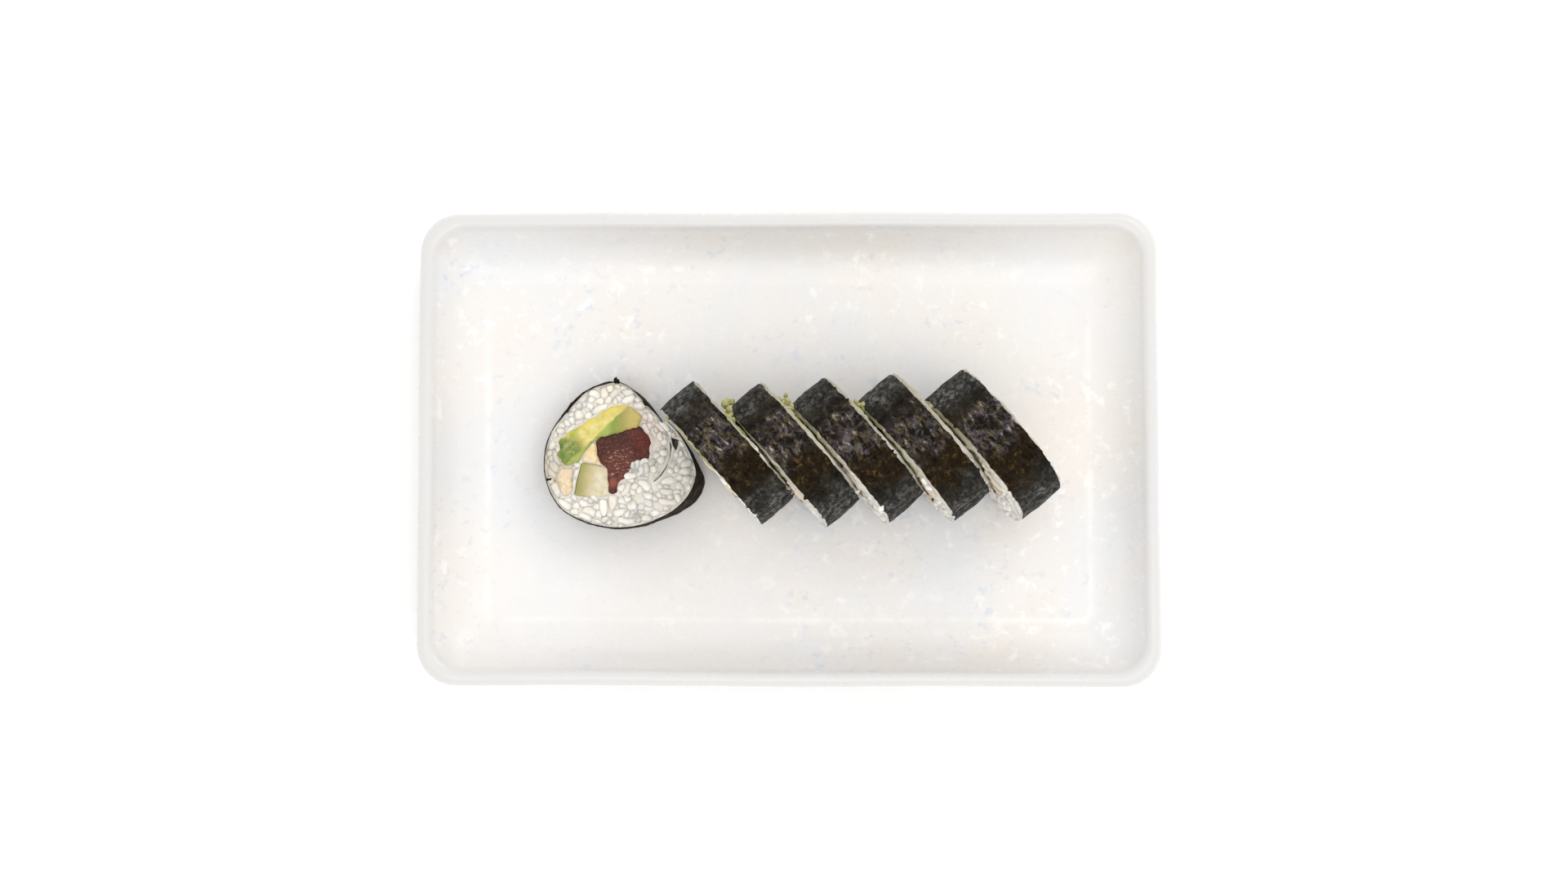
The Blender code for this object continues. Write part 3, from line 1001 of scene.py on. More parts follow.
def dish_ring(inset, height, wobble):
    """One loop of the dish with its long, short and corner stretches, hand wobble in."""
    half_x = DISH_LONG / 2 - inset
    half_y = DISH_WIDE / 2 - inset
    radius = max(DISH_CORNER - CORNER_TAPER * inset, CORNER_LEAST)
    radius = min(radius, half_y - 0.5)
    turn = np.radians(np.linspace(0.0, 90.0, CORNER_STEPS, endpoint=False))
    arc = np.column_stack((np.cos(turn), np.sin(turn))) * radius
    sides = ((1, 1), (-1, 1), (-1, -1), (1, -1))
    parts = []
    for quarter, (sx, sy) in enumerate(sides):
        nx, ny = sides[(quarter + 1) % 4]
        centre = np.array((sx * (half_x - radius), sy * (half_y - radius)))
        c, s = ((1, 0), (0, 1), (-1, 0), (0, -1))[quarter]
        corner = centre + arc @ np.array(((c, s), (-s, c)))
        following = np.array((nx * (half_x - radius), ny * (half_y - radius)))
        step = np.array((-s, c)) * radius
        count = LONG_STEPS if quarter % 2 == 0 else SHORT_STEPS
        begin, end = centre + step, following + step
        line = begin + (end - begin) * np.linspace(0, 1, count, endpoint=False)[:, None]
        parts.extend((corner, line))
    ring = np.vstack(parts)
    fade = max(0.0, 1.0 - inset / 45.0)
    probe = np.column_stack((ring, np.zeros(len(ring))))
    shift_x = field(probe, 62.0, 1.0) * wobble * fade
    shift_y = field(probe, 48.0, 2.0) * wobble * fade
    sag = np.where(ring[:, 1] < 0, -0.45 * ring[:, 0] / (DISH_LONG / 2), 0.0) * fade
    lift = field(probe, 70.0, 3.0) * wobble * 0.8 * min(height / DISH_RIM, 1.0)
    return np.column_stack((ring[:, 0] + shift_x, ring[:, 1] + shift_y + sag, height + lift))


def smooth_profile(steps, spacing):
    """A profile's (inset, height) steps as a smooth line of closely spaced points."""
    steps = np.array(steps, float)
    reach = np.concatenate(([0.0], np.cumsum(np.hypot(*np.diff(steps, axis=0).T))))
    at = np.linspace(0.0, reach[-1], int(reach[-1] / spacing))
    insets = through(list(zip(reach, steps[:, 0])), at, len(reach))
    heights = through(list(zip(reach, steps[:, 1])), at, len(reach))
    return np.column_stack((insets, heights))


# Inset of the crease between the inner wall and the floor, where a highlight is painted.
FOOT_LINE = 20.6


def build_dish(settings):
    """The dish as one closed skin: underside, rim, inside and floor."""
    wobble = settings.wobble / MM
    profile = smooth_profile(UNDERSIDE + RIM + INSIDE, 0.9)
    floor_insets = np.linspace(30.0, DISH_WIDE / 2 - 1.5, 16)
    profile = np.vstack((profile, np.column_stack((floor_insets, np.full(16, DISH_FLOOR)))))
    rings = [dish_ring(inset, height, wobble) for inset, height in profile]
    count = len(rings[0])
    points = np.vstack(rings)
    points[:, 2] = np.clip(points[:, 2], 0.0, DISH_RIM + 0.5)
    faces = [tuple(reversed(range(count)))]
    for level in range(len(rings) - 1):
        low = level * count
        for i in range(count):
            j = (i + 1) % count
            faces.append((low + i, low + j, low + count + j, low + count + i))
    top = (len(rings) - 1) * count
    faces.append(tuple(range(top, top + count)))
    material = glazed_stoneware(settings)
    insets = np.repeat(profile[:, 0], count)
    rising = np.repeat(np.arange(len(profile)) > len(profile) * 0.45, count)
    far_side = np.clip((points[:, 1] - 30.0) / 20.0, 0.0, 1.0)
    # Painted highlight along the crease, fainter toward the far wall.
    foot = np.exp(-((insets - FOOT_LINE) / 0.9) ** 2) * rising * (1.0 - 0.75 * far_side)
    # Where painted shade darkens the rim: about the top of the lip.
    rim = np.clip(1.6 - np.abs(insets - 2.6) / 2.2, 0.0, 1.0)
    return new_piece(
        "dish_glazed", points, faces, material, ("dish",), None,
        {"foot": foot, "rim": rim},
    )


# ---------------------------------------------------------------- nori


def fold_depth(angles):
    """How far slice 1's nori folds in over the rice at each angle of its last turn."""
    depth = np.zeros(len(angles))
    for towards, spread, fold in NORI_FOLDS:
        depth += fold * np.clip(1.15 - np.abs(angles - towards) / spread, 0.0, 1.0)
    return depth


def lie_on_slice(turned, radii, turn):
    """Where the sheet of a standing slice lies: its place along the slice from -1 to 1,
    and how far it faces up."""
    if turn is None:
        return np.zeros(len(turned)), np.zeros(len(turned))
    spin, shift = standing_turn(turn)
    spot = polar(turned, radii) @ spin + shift
    middle = spot[:, 1].max() / 2
    reach = np.abs(spot[:, 0]).max()
    return spot[:, 0] / reach, (spot[:, 1] - middle) / middle


def build_nori(number, place, turn, span, thick):
    """A thin sheet wound round the slice, dented by the rice under it, edges torn."""
    low, high = span
    angles = np.linspace(SHEET_START, SHEET_END, NORI_ROWS)
    radii = sheet_radius(angles)
    arc = np.concatenate(([0.0], np.cumsum(np.hypot(*np.diff(polar(angles, radii), axis=0).T))))
    across = np.linspace(-1.0, 1.0, NORI_COLUMNS)
    seed = 11.0 * number
    grid_a = np.repeat(np.arange(len(angles)), len(across))
    grid_w = np.tile(across, len(angles))
    half = (high - low) / 2
    sheet = np.column_stack((arc[grid_a], grid_w * half, np.full(len(grid_a), seed)))
    cut = np.column_stack((arc, np.zeros(len(arc)), np.full(len(arc), seed)))
    turned = angles[grid_a]
    ragged = {}
    for side in (-1, 1):
        cut[:, 1] = side * 40.0
        torn = field(cut, 7.0, seed) * 0.40 + field(cut, 1.6, seed) * 0.30
        torn += np.maximum(field(cut, 0.9, seed + side) - 0.40, 0.0) * 2.4
        ragged[side] = torn
    hidden = np.clip((angles - 13.0) / 5.0, 0.0, 1.0) * np.clip((38.0 - angles) / 4.0, 0.0, 1.0)
    broken = np.clip(field(cut, 2.6, 5.0) + 0.65, 0.0, 1.0) * (angles < 20.0)
    sunk = 1.0 - (FLAP_SUNK / half) * hidden - (1.5 / half) * broken
    if number == 1:
        ragged[1] += 1.3 * np.maximum(field(cut, 1.3, 9.0) - 0.25, 0.0) * (angles > 66.0)
        sunk -= (1.6 / half) * np.clip((angles - 368.0) / 8.0, 0.0, 1.0)
    edge = np.where(grid_w > 0, ragged[1][grid_a], ragged[-1][grid_a])
    w = (low + high) / 2 + grid_w * (half - 0.1) * sunk[grid_a]
    w += np.sign(grid_w) * edge * np.abs(grid_w) ** 6
    dents = field(sheet, 4.6, seed) * 0.30 + field(sheet, 2.2, seed + 1.0) * 0.16
    crinkle = np.abs(field(sheet * (1.0, 0.6, 1.0), 2.6, seed + 2.0)) * 0.34
    fine = field(sheet, 0.9, seed + 4.0) * 0.08
    along, up = lie_on_slice(turned, radii[grid_a], turn)
    soft = np.clip(1.25 - np.abs(along - 0.05) / 0.55, 0.0, 1.0) * (up > -0.2)
    loose = np.clip((turned - 30.0) / 40.0, 0.0, 1.0) * np.clip((SHEET_END - turned) / 25.0, 0, 1)
    relief = (dents - crinkle * (0.35 + 0.65 * soft) + fine) * (0.25 + 0.75 * loose)
    relief *= 1.0 - 0.55 * np.abs(grid_w) ** 4
    relief += 0.22 * (1.0 - np.abs(grid_w) ** 2) * loose
    if number == 1:
        near_cut = np.clip(grid_w, 0.0, 1.0) ** 6
        relief *= 1.0 - 0.8 * near_cut
        folded = near_cut * fold_depth(turned)
        folded *= np.maximum(1.0 + 1.3 * field(sheet, 2.0, 21.0), 0.0)
        relief -= folded
        w += 0.4 * folded
    outer = radii[grid_a] - 0.1 + relief - seam_drop(number, turned)
    inner = outer - thick
    radial = np.radians(turned)
    ring = np.stack((np.cos(radial), np.sin(radial)), axis=1)
    top = np.column_stack((ring * outer[:, None], w))
    under = np.column_stack((ring * inner[:, None], w))
    cols, rows = len(across), len(angles)
    points = np.vstack((top, under))
    shift = rows * cols
    faces = []
    for i in range(rows - 1):
        for j in range(cols - 1):
            a = i * cols + j
            faces.append((a, a + cols, a + cols + 1, a + 1))
            b = a + shift
            faces.append((b, b + 1, b + cols + 1, b + cols))
        left, right = i * cols, i * cols + cols - 1
        faces.append((left, left + shift, left + cols + shift, left + cols))
        faces.append((right, right + cols, right + cols + shift, right + shift))
    last = (rows - 1) * cols
    for j in range(cols - 1):
        faces.append((j, j + 1, j + 1 + shift, j + shift))
        end = last + j
        faces.append((end, end + shift, end + 1 + shift, end + 1))
    # Masks: crown, the top of a standing slice, takes the painted highlights and painted dark
    # reflection; damp, the brown patch; ends, the shoulders, take the painted grey sheen.
    blur = 0.16 * field(sheet, 5.0, seed + 6.0) + 0.08 * field(sheet, 1.6, seed + 7.0)
    crown = np.clip(1.0 - (np.abs(along - 0.17 + blur) - 0.24) / 0.14, 0.0, 1.0) * (up > 0.0)
    damp = np.clip(1.0 - (np.abs(along + 0.33 + blur) - 0.14) / 0.16, 0.0, 1.0) * (up > 0.0)
    ends = np.clip((np.abs(along + 0.5 * blur) - 0.62) / 0.24, 0.0, 1.0)
    if turn is None:
        crown, damp, ends = crown * 0.0, damp * 0.0 + 1.0, ends * 0.0
    sheet = np.vstack((sheet, sheet + (0.0, 0.0, 1.0)))
    return new_piece(
        f"slice_{number}_nori_sheet",
        place(points),
        faces,
        shared_material("nori"),
        (f"slice_{number}_nori",),
        {"section": points, "sheet": sheet},
        {"crown": np.tile(crown, 2), "damp": np.tile(damp, 2), "ends": np.tile(ends, 2)},
    )


# ---------------------------------------------------------------- rice


RICE_INSET = 0.20
CORE_INSET = 0.34
# How far the core lies below its cut face, how fine its mesh is, how far its waist is
# drawn in, and how much deeper grains sit where nori wraps them.
CORE_SUNK = 1.45
CORE_SPACING = 0.8
CORE_WAIST = 0.8
WRAPPED_INSET = 0.85
OVERLAP = 0.45
# How far the core rises toward its borders, so that no dark gap opens beside them.
RIM_LIP = 1.15
# Rings and sides of one grain: finer where slice 1 lies with its cut face in full view.
GRAIN_FINE = (9, 10)
GRAIN_PLAIN = (7, 8)
# The crack beside the inner flap, in degrees and millimetres; how far the flap's edge
# is sunk below the cut.
CRACK_FROM = -42.0
CRACK_TO = 15.0
CRACK_WIDE = 0.26
FLAP_SUNK = 3.6
# The small open gap where slice 1's rice came away.
NOTCH = ((16.3, 6.0), (20.1, 5.7), (18.9, 3.2), (17.4, 0.8), (16.3, 2.8))
# Grains that cling to slice 1's tuna.
CLINGING = (
    (5.0, -4.0), (6.7, -3.0), (4.3, -5.5), (4.0, -4.6), (6.0, -5.3), (7.6, -4.6), (2.9, -7.0),
)


def grain_shape(rings, sides):
    """One plump grain along x and its faces."""
    along = np.cos(np.linspace(0.0, math.pi, rings + 2))[1:-1]
    around = np.linspace(0.0, 2 * math.pi, sides, endpoint=False)
    points = [(0.5, 0.0, 0.0)]
    for x in along:
        girth = 0.5 * (1.0 - abs(x) ** 2.5) ** 0.5
        for a in around:
            points.append((0.5 * x, girth * math.cos(a), girth * math.sin(a)))
    points.append((-0.5, 0.0, 0.0))
    faces = []
    end = len(points) - 1
    for j in range(sides):
        k = (j + 1) % sides
        faces.append((0, 1 + j, 1 + k))
        for i in range(rings - 1):
            low = 1 + i * sides
            faces.append((low + j, low + sides + j, low + sides + k, low + k))
        low = 1 + (rings - 1) * sides
        faces.append((low + j, end, low + k))
    return np.array(points), faces


def spun(cloud, turn):
    """Points turned about the axis that stands out of the section, by radians."""
    c, s = math.cos(turn), math.sin(turn)
    return cloud @ np.array(((c, s, 0), (-s, c, 0), (0, 0, 1)))


def grains_at(spots, rng, dented=0.07, detail=GRAIN_FINE):
    """Grain points for (u, v, w, heading, tilt, long, wide) spots, and each one's tint."""
    shape, faces = grain_shape(*detail)
    clouds, tints, joined = [], [], []
    for n, (u, v, w, heading, tilt, length, width) in enumerate(spots):
        size = np.array((length, width * rng.uniform(0.92, 1.15), width * rng.uniform(0.85, 1.0)))
        cloud = shape * size
        cloud[:, 2] += rng.uniform(-0.35, 0.35) * (cloud[:, 0] / length * 2) ** 2
        cloud[:, 1] += rng.uniform(-0.35, 0.35) * (cloud[:, 0] / length * 2) ** 2
        cloud[:, 1:] *= (1.0 + rng.uniform(-0.18, 0.18) * cloud[:, :1] / length * 2)
        swell = field(cloud, width * 0.55, 1.7 * n)
        cloud *= 1.0 + dented * swell[:, None]
        c, s = math.cos(tilt), math.sin(tilt)
        cloud = cloud @ np.array(((c, 0, s), (0, 1, 0), (-s, 0, c)))
        clouds.append(spun(cloud, heading) + (u, v, w))
        tone = 0.5 + 1.3 * noise.noise(Vector((u, v, w)) / 6.0)
        tints.append(np.full(len(shape), 0.4 * rng.uniform(0.0, 1.0) + 0.6 * tone))
        base = n * len(shape)
        joined.extend(tuple(i + base for i in f) for f in faces)
    return np.vstack(clouds), joined, np.concatenate(tints)


def crack():
    """The slot that stays open beside the inner flap, as a closed outline."""
    angles = np.linspace(CRACK_FROM, CRACK_TO, 24)
    radii = sheet_radius(np.maximum(angles, SHEET_START))
    gape = 0.08 + 0.09 * np.sin(np.radians(angles * 9.0))
    inner = polar(angles, radii - CRACK_WIDE - gape)
    return np.vstack((polar(angles, radii + gape), inner[::-1]))


def shrunk(loop, distance):
    """A closed outline drawn in by a distance along its own normals."""
    loop = anticlockwise(loop)
    run = np.roll(loop, -1, axis=0) - np.roll(loop, 1, axis=0)
    run /= np.maximum(np.hypot(*run.T), 1e-9)[:, None]
    return loop - np.column_stack((run[:, 1], -run[:, 0])) * distance


def seam_drop(number, angles):
    """How far the free end of a standing slice's nori has bent down at each angle."""
    if number == 1:
        return np.zeros_like(angles)
    return SEAM_DROP * np.clip((angles - SEAM_FROM) / (SHEET_END - SEAM_FROM), 0.0, 1.0) ** 1.5


def turn_angles(step=2.0):
    """Angles of the sheet's last turn."""
    return np.arange(SHEET_END - 360.0, SHEET_END, step)


def outer_turn(inset):
    """The outline of the whole roll inside its last turn of nori."""
    angles = turn_angles()
    return polar(angles, sheet_radius(angles) - inset)


def clearance_map(loops, step=0.4, reach=27.0):
    """Room around each spot of the section: distance to the nearest border, or less
    than nothing where rice can't go."""
    side = np.arange(-reach, reach, step)
    grid = np.array([(x, y) for y in side for x in side])
    room = edge_distance(grid, loops)
    good = inside(grid, loops[0])
    for hole in loops[1:]:
        good &= ~inside(grid, hole)
    room = np.where(good, room, -1.0).reshape(len(side), len(side))

    def read(u, v):
        i = int(round((v + reach) / step))
        j = int(round((u + reach) / step))
        if 0 <= i < len(side) and 0 <= j < len(side):
            return room[i, j]
        return -1.0

    return read


def pack_layer(room, rng, tries, spacing, sizes, depth, taken, edge=0.34):
    """Drops grains at random where there is room, none too near another."""
    spots = []
    centres = np.empty((0, 2))
    if taken:
        centres = np.vstack(taken)
    for _ in range(tries):
        radius = 25.5 * math.sqrt(rng.random())
        angle = rng.uniform(0.0, 2 * math.pi)
        u, v = radius * math.cos(angle), radius * math.sin(angle)
        clear = room(u, v)
        length = rng.uniform(*sizes[0])
        width = rng.uniform(*sizes[1])
        if clear < width * edge:
            continue
        heading = rng.uniform(0.0, math.pi)
        if clear < 2.0:
            heading = angle + math.pi / 2 + rng.normal(0.0, 0.6)
        tilt = rng.normal(0.0, 0.42)
        reach = 0.36 * length * math.cos(tilt)
        step = np.array((math.cos(heading), math.sin(heading))) * reach
        body = np.array([(u, v) + step * share for share in (0.0, 1.0, -1.0, 0.5, -0.5)])
        if min(room(*body[1]), room(*body[2])) < width * edge * 0.6:
            continue
        if len(centres):
            near = np.abs(centres - (u, v)).max(axis=1) < 6.0
            close = centres[near]
            if len(close):
                gap = ((close[:, None, :] - body[None, :, :]) ** 2).sum(axis=2).min()
                if gap < spacing ** 2:
                    continue
        centres = np.vstack((centres, body))
        spots.append((u, v, depth(u, v, tilt, length, width), heading, tilt, length, width))
    return spots, centres


def lumps(flat, number, side):
    """How far the rice stands out of its cut: flat where the knife pressed it, heaped
    and torn on the side where the roll was still loose."""
    flat = np.atleast_2d(flat)
    probe = np.column_stack((flat, np.full(len(flat), 5.0 * number + side)))
    heap = np.exp(-((flat[:, 0] - 6.0) ** 2 + (flat[:, 1] + 15.0) ** 2) / 110.0)
    wobble = field(probe, 5.0, 1.0) * 0.45
    if number == 1:
        return wobble + heap * 0.7
    return wobble + heap * 0.2


def build_rice(number, place, span, settings):
    """A dented core, then whole grains in layers packed against each cut face."""
    rng = np.random.default_rng(settings.seed * 100 + number)
    holes = [torn_outline(name) for name in FILLINGS]
    outline = outer_turn(CORE_INSET + seam_drop(number, turn_angles()))
    gaps = [crack()]
    if number == 1:
        outline = outer_turn(CORE_INSET + fold_depth(turn_angles()))
        gaps.append(np.array(NOTCH))
    region = filled(outline, (*holes, *gaps), CORE_SPACING)

    def core_face(flat, side):
        probe = np.column_stack((flat, np.full(len(flat), float(side))))
        dip = 0.35 * field(probe, 2.2, number) + lumps(flat, number, side)
        lip = np.clip(1.0 - region[3] / CORE_SPACING, 0.0, 1.0)
        return dip - CORE_SUNK + RIM_LIP * lip

    slab(
        f"slice_{number}_rice_core", region, span, place, shared_material("core"),
        (f"slice_{number}_rice",), core_face, 0.10, 0.3 * number, 0.0,
        CORE_WAIST, number,
    )
    loops = [anticlockwise(outer_turn(RICE_INSET))]
    loops += [anticlockwise(shrunk(hole, OVERLAP)) for hole in holes]
    loops += [anticlockwise(gap) for gap in gaps]
    room = clearance_map(loops)
    length = settings.grain_long / MM
    width = settings.grain_wide / MM
    whole = ((length * 0.80, length * 1.15), (width * 0.88, width * 1.15))
    broken = ((length * 0.42, length * 0.70), (width * 0.66, width * 0.95))
    clouds, faces, tints = [], [], []
    base = 0
    for side in (1, -1):
        rise = span[1] if side > 0 else -span[0]

        def stand(u, v):
            return rise + float(lumps(np.array((u, v)), number, side)[0])

        def top(u, v, tilt, long, wide):
            lift = stand(u, v) - 0.52 * wide - 0.30 * long * abs(math.sin(tilt))
            return lift + rng.uniform(-0.30, 0.40)

        def mid(u, v, tilt, long, wide):
            return stand(u, v) - 0.82 * wide + rng.uniform(-0.25, 0.25)

        def low(u, v, tilt, long, wide):
            return stand(u, v) - 1.15 * wide + rng.uniform(-0.2, 0.3)

        first, taken = pack_layer(room, rng, 4200, 1.42, whole, top, [])
        small, _ = pack_layer(room, rng, 2600, 0.95, broken, top, [taken])
        middle, _ = pack_layer(room, rng, 3200, 1.30, whole, mid, [], 0.28)
        under, _ = pack_layer(room, rng, 2600, 1.45, whole, low, [], 0.25)
        if number == 1 and side > 0:
            for u, v in CLINGING:
                first.append((
                    u, v, rise - 0.1, rng.uniform(0.0, math.pi), 0.0, 0.75 * length, 0.85 * width
                ))
        detail = GRAIN_FINE if number == 1 else GRAIN_PLAIN
        cloud, joined, tint = grains_at(first + small + middle + under, rng, 0.15, detail)
        limit = rise + lumps(cloud[:, :2], number, side) + 0.40
        over = np.maximum(cloud[:, 2] - limit, 0.0)
        cloud[:, 2] -= over * 0.80
        cloud[:, 2] *= side
        if side < 0:
            joined = [tuple(reversed(f)) for f in joined]
        clouds.append(cloud)
        faces.extend(tuple(i + base for i in f) for f in joined)
        tints.append(tint)
        base += len(cloud)
    cloud = np.vstack(clouds)
    angle = np.degrees(np.arctan2(cloud[:, 1], cloud[:, 0])) % 360.0
    wound = np.where(angle < FLAP_MEETS - 20.0, angle + 360.0, angle)
    wrapped = (FLAT_THICK if number == 1 else STANDING[number - 2][2]) / 2
    buried = np.clip((wrapped - np.abs(cloud[:, 2])) / 0.9, 0.0, 1.0)
    inset = RICE_INSET + WRAPPED_INSET * buried + seam_drop(number, wound)
    if number == 1:
        inset += WRAPPED_INSET * fold_depth(wound) * (cloud[:, 2] > 0.0)
    limit = sheet_radius(wound) - inset
    radius = np.hypot(cloud[:, 0], cloud[:, 1])
    squeeze = np.minimum(1.0, limit / np.maximum(radius, 1e-6))
    cloud[:, :2] *= squeeze[:, None]
    sites = place(cloud)
    return new_piece(
        f"slice_{number}_rice_grains",
        sites,
        faces,
        shared_material("rice"),
        (f"slice_{number}_rice",),
        {"section": cloud},
        {"tint": np.concatenate(tints), "stain": stain_of(sites),
         "smear": smear_of(number, cloud)},
    )


# ---------------------------------------------------------------- fillings


def torn_outline(name):
    """A filling's outline, its corners cut back and its edge torn a little. Neighbours
    share the same tears, so they still meet."""
    loop = resampled(soften(FILLINGS[name], FACE[name][0]), 0.5)
    push = np.column_stack((
        field(loop, 2.1, 31.0) + 0.5 * field(loop, 0.9, 33.0),
        field(loop, 2.1, 47.0) + 0.5 * field(loop, 0.9, 49.0),
    ))
    calm = 0.35 if name == "cucumber" else 1.0
    far_end = np.clip((-13.0 - loop[:, 0]) / 3.0, 0.0, 1.0) * (loop[:, 1] > -4.0)
    return loop + push * (TORN * calm + 0.75 * far_end)[:, None]


def build_filling(number, name, place, span):
    """One filling's whole length through a slice, with a finished face at each cut."""
    edge, rough, proud = FACE[name][1:]
    region = filled(torn_outline(name), (), 0.5)
    depth = region[3]
    seed = 3.0 * number + len(name)

    def face(flat, side):
        probe = np.column_stack((flat, np.full(len(flat), 9.0 * side)))
        fall = edge * np.clip(1.0 - depth / 1.0, 0.0, 1.0) ** 2
        relief = field(probe, 3.2, seed) * rough + field(probe, 1.1, seed) * rough * 0.5
        sunk = 0.0 if number == 1 else 0.1
        return proud + relief - fall - sunk

    slot = SLOT_OF[name]
    return slab(
        f"slice_{number}_{name}_cut", region, span, place, shared_material(slot),
        (f"slice_{number}_{name}",), face, 0.12, seed, 0.0 if number == 1 else 0.55,
    )


# ---------------------------------------------------------------- crumbs and strays


def scattered(name, clouds, faces, kind, sections=None, tints=None, stains=None):
    """Many small bodies of one kind, joined into one piece."""
    points = np.vstack(clouds)
    return new_piece(
        name,
        points,
        faces,
        shared_material(kind),
        (),
        {"section": points if sections is None else sections},
        {
            "tint": np.zeros(len(points)) if tints is None else tints,
            "stain": np.zeros(len(points)) if stains is None else stains,
        },
    )


def build_crumbs(name, crumbs, kind, home, seed, stale):
    """Soft torn crumbs. Their colour is read from one spot of the section, `home`."""
    rng = np.random.default_rng(seed)
    shape, pattern = grain_shape(13, 16)
    clouds, faces, sections = [], [], []
    for middle, size in crumbs:
        for _ in range(3):
            scale = np.array((1.0, 0.72, 0.6)) * size * rng.uniform(0.45, 0.8)
            cloud = shape * scale
            cloud *= 1.0 + 0.5 * field(cloud, size * 0.30, rng.uniform(0.0, 90.0))[:, None]
            cloud = spun(cloud, rng.uniform(0.0, math.pi))
            cloud = cloud + np.array(middle) + rng.normal(0.0, 0.22 * size, 3)
            base = sum(len(c) for c in clouds)
            faces.extend(tuple(i + base for i in f) for f in pattern)
            clouds.append(cloud)
            spot = cloud - np.array(middle)
            sections.append(spot * 0.6 + np.array((*home, 0.0)))
    sections = np.vstack(sections)
    stains = np.full(len(sections), stale)
    scattered(name, clouds, faces, kind, sections, None, stains)


def on_edge(number, side, reach, out, drop=1.6):
    """A spot at the top edge of a standing slice's cut."""
    low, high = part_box(f"slice_{number}_nori")
    middle = (low + high) / 2 / MM
    heading, _, width, near, far = STANDING[number - 2]
    a = math.radians(heading)
    proud = far if side > 0 else near
    across = side * (width / 2 + proud + out)
    radius = (high.z - low.z) / 2 / MM
    level = middle.z + math.sqrt(max(radius ** 2 - reach ** 2, 1.0)) - drop
    x = middle.x - math.sin(a) * reach - math.cos(a) * across
    y = middle.y + math.cos(a) * reach - math.sin(a) * across
    return x, y, level


def build_strays(settings):
    """Grains pulled half out of the cuts."""
    rng = np.random.default_rng(settings.seed)
    long, wide = settings.grain_long / MM, settings.grain_wide / MM
    spots = []
    for number, side, reach, out in STRAY_GRAINS:
        x, y, z = on_edge(number, side, reach, out - 0.55 * wide)
        heading = math.radians(-50.0) + rng.normal(0.0, 0.5)
        length = long * rng.uniform(0.45, 0.8)
        tilt = rng.normal(0.0, 0.4)
        spots.append((x, y, z, heading, tilt, length, wide * rng.uniform(0.6, 0.9)))
    cloud, faces, tint = grains_at(spots, rng, 0.25)
    scattered(
        "stray_grains", [cloud], faces, "rice", np.zeros((len(cloud), 3)), tint,
        stain_of(cloud),
    )


def build_flecks():
    """Scraps of nori left on the cuts."""
    rng = np.random.default_rng(5)
    shape, pattern = grain_shape(7, 10)
    clouds, faces = [], []
    for x, y, z in NORI_FLECKS:
        cloud = shape * (1.9, 1.2, 0.5) * rng.uniform(0.7, 1.1)
        cloud *= 1.0 + 0.5 * field(cloud, 0.6, rng.uniform(0.0, 90.0))[:, None]
        cloud = spun(cloud, rng.uniform(0.0, math.pi)) + (x, y, z)
        base = sum(len(c) for c in clouds)
        faces.extend(tuple(i + base for i in f) for f in pattern)
        clouds.append(cloud)
    scattered("nori_flecks", clouds, faces, "nori")


# ---------------------------------------------------------------- stage


# The table: half its side, and how far its face lies below the dish's foot, in metres.
TABLE_HALF = 1.6
TABLE_DROP = 0.0004
SENSOR_WIDE = 36.0
# What the camera looks at and from how far, in millimetres; how steeply it looks down.
CAMERA_TARGET = (-1.6, 1.8, 24.0)
CAMERA_AWAY = 620.0
CAMERA_STEEP = 86.5
# Lamps: name, place and size in metres, share of the window's power, colour.
LAMPS = (
    ("window", (0.85, 1.05, 1.35), (1.0, 0.8), 1.0, (1.0, 0.985, 0.96)),
    ("overhead", (0.15, -0.55, 1.6), (1.2, 1.0), 0.95, (1.0, 0.995, 0.99)),
    ("side_fill", (-1.2, 0.1, 0.8), (0.8, 0.6), 0.06, (1.0, 0.95, 0.92)),
)


def aim(thing, place, target):
    """Puts a lamp or the camera in its place, looking at a point."""
    thing.location = place
    thing.rotation_euler = (Vector(target) - Vector(place)).to_track_quat("-Z", "Y").to_euler()


def build_stage(settings):
    """The table, the light of the room, the lamps and the camera."""
    scene = bpy.context.scene
    corners = [
        (x * TABLE_HALF, y * TABLE_HALF, -TABLE_DROP)
        for x, y in ((-1.0, -1.0), (1.0, -1.0), (1.0, 1.0), (-1.0, 1.0))
    ]
    table = bpy.data.meshes.new("table")
    table.from_pydata(corners, [], [(0, 1, 2, 3)])
    table.materials.append(painted_table())
    floor = bpy.data.objects.new("table", table)
    scene.collection.objects.link(floor)

    world = bpy.data.worlds.new("room")
    world.use_nodes = True
    back = world.node_tree.nodes["Background"]
    back.inputs["Color"].default_value = (1.0, 0.995, 0.985, 1.0)
    back.inputs["Strength"].default_value = settings.room_light
    scene.world = world

    for name, place, (wide, tall), power, colour in LAMPS:
        lamp = bpy.data.lights.new(name, "AREA")
        lamp.shape = "RECTANGLE"
        lamp.size = wide
        lamp.size_y = tall
        lamp.energy = settings.window_light * power
        lamp.color = colour
        thing = bpy.data.objects.new(name, lamp)
        scene.collection.objects.link(thing)
        aim(thing, place, (0.0, 0.0, 0.0))

    camera = bpy.data.cameras.new("camera")
    camera.lens = settings.lens
    camera.sensor_width = SENSOR_WIDE
    thing = bpy.data.objects.new("camera", camera)
    scene.collection.objects.link(thing)
    target = Vector(CAMERA_TARGET) * MM
    steep = math.radians(CAMERA_STEEP)
    place = target + Vector((0.0, -math.cos(steep), math.sin(steep))) * (CAMERA_AWAY * MM)
    aim(thing, place, target)
    scene.camera = thing
    scene.view_settings.view_transform = "Standard"


# ---------------------------------------------------------------- operators


class MAKI_OT_dish(bpy.types.Operator):
    """Make the glazed stoneware dish"""

    bl_idname = "maki.dish"
    bl_label = "Dish"

    def execute(self, context):
        build_dish(context.scene.maki_dish)
        return {"FINISHED"}


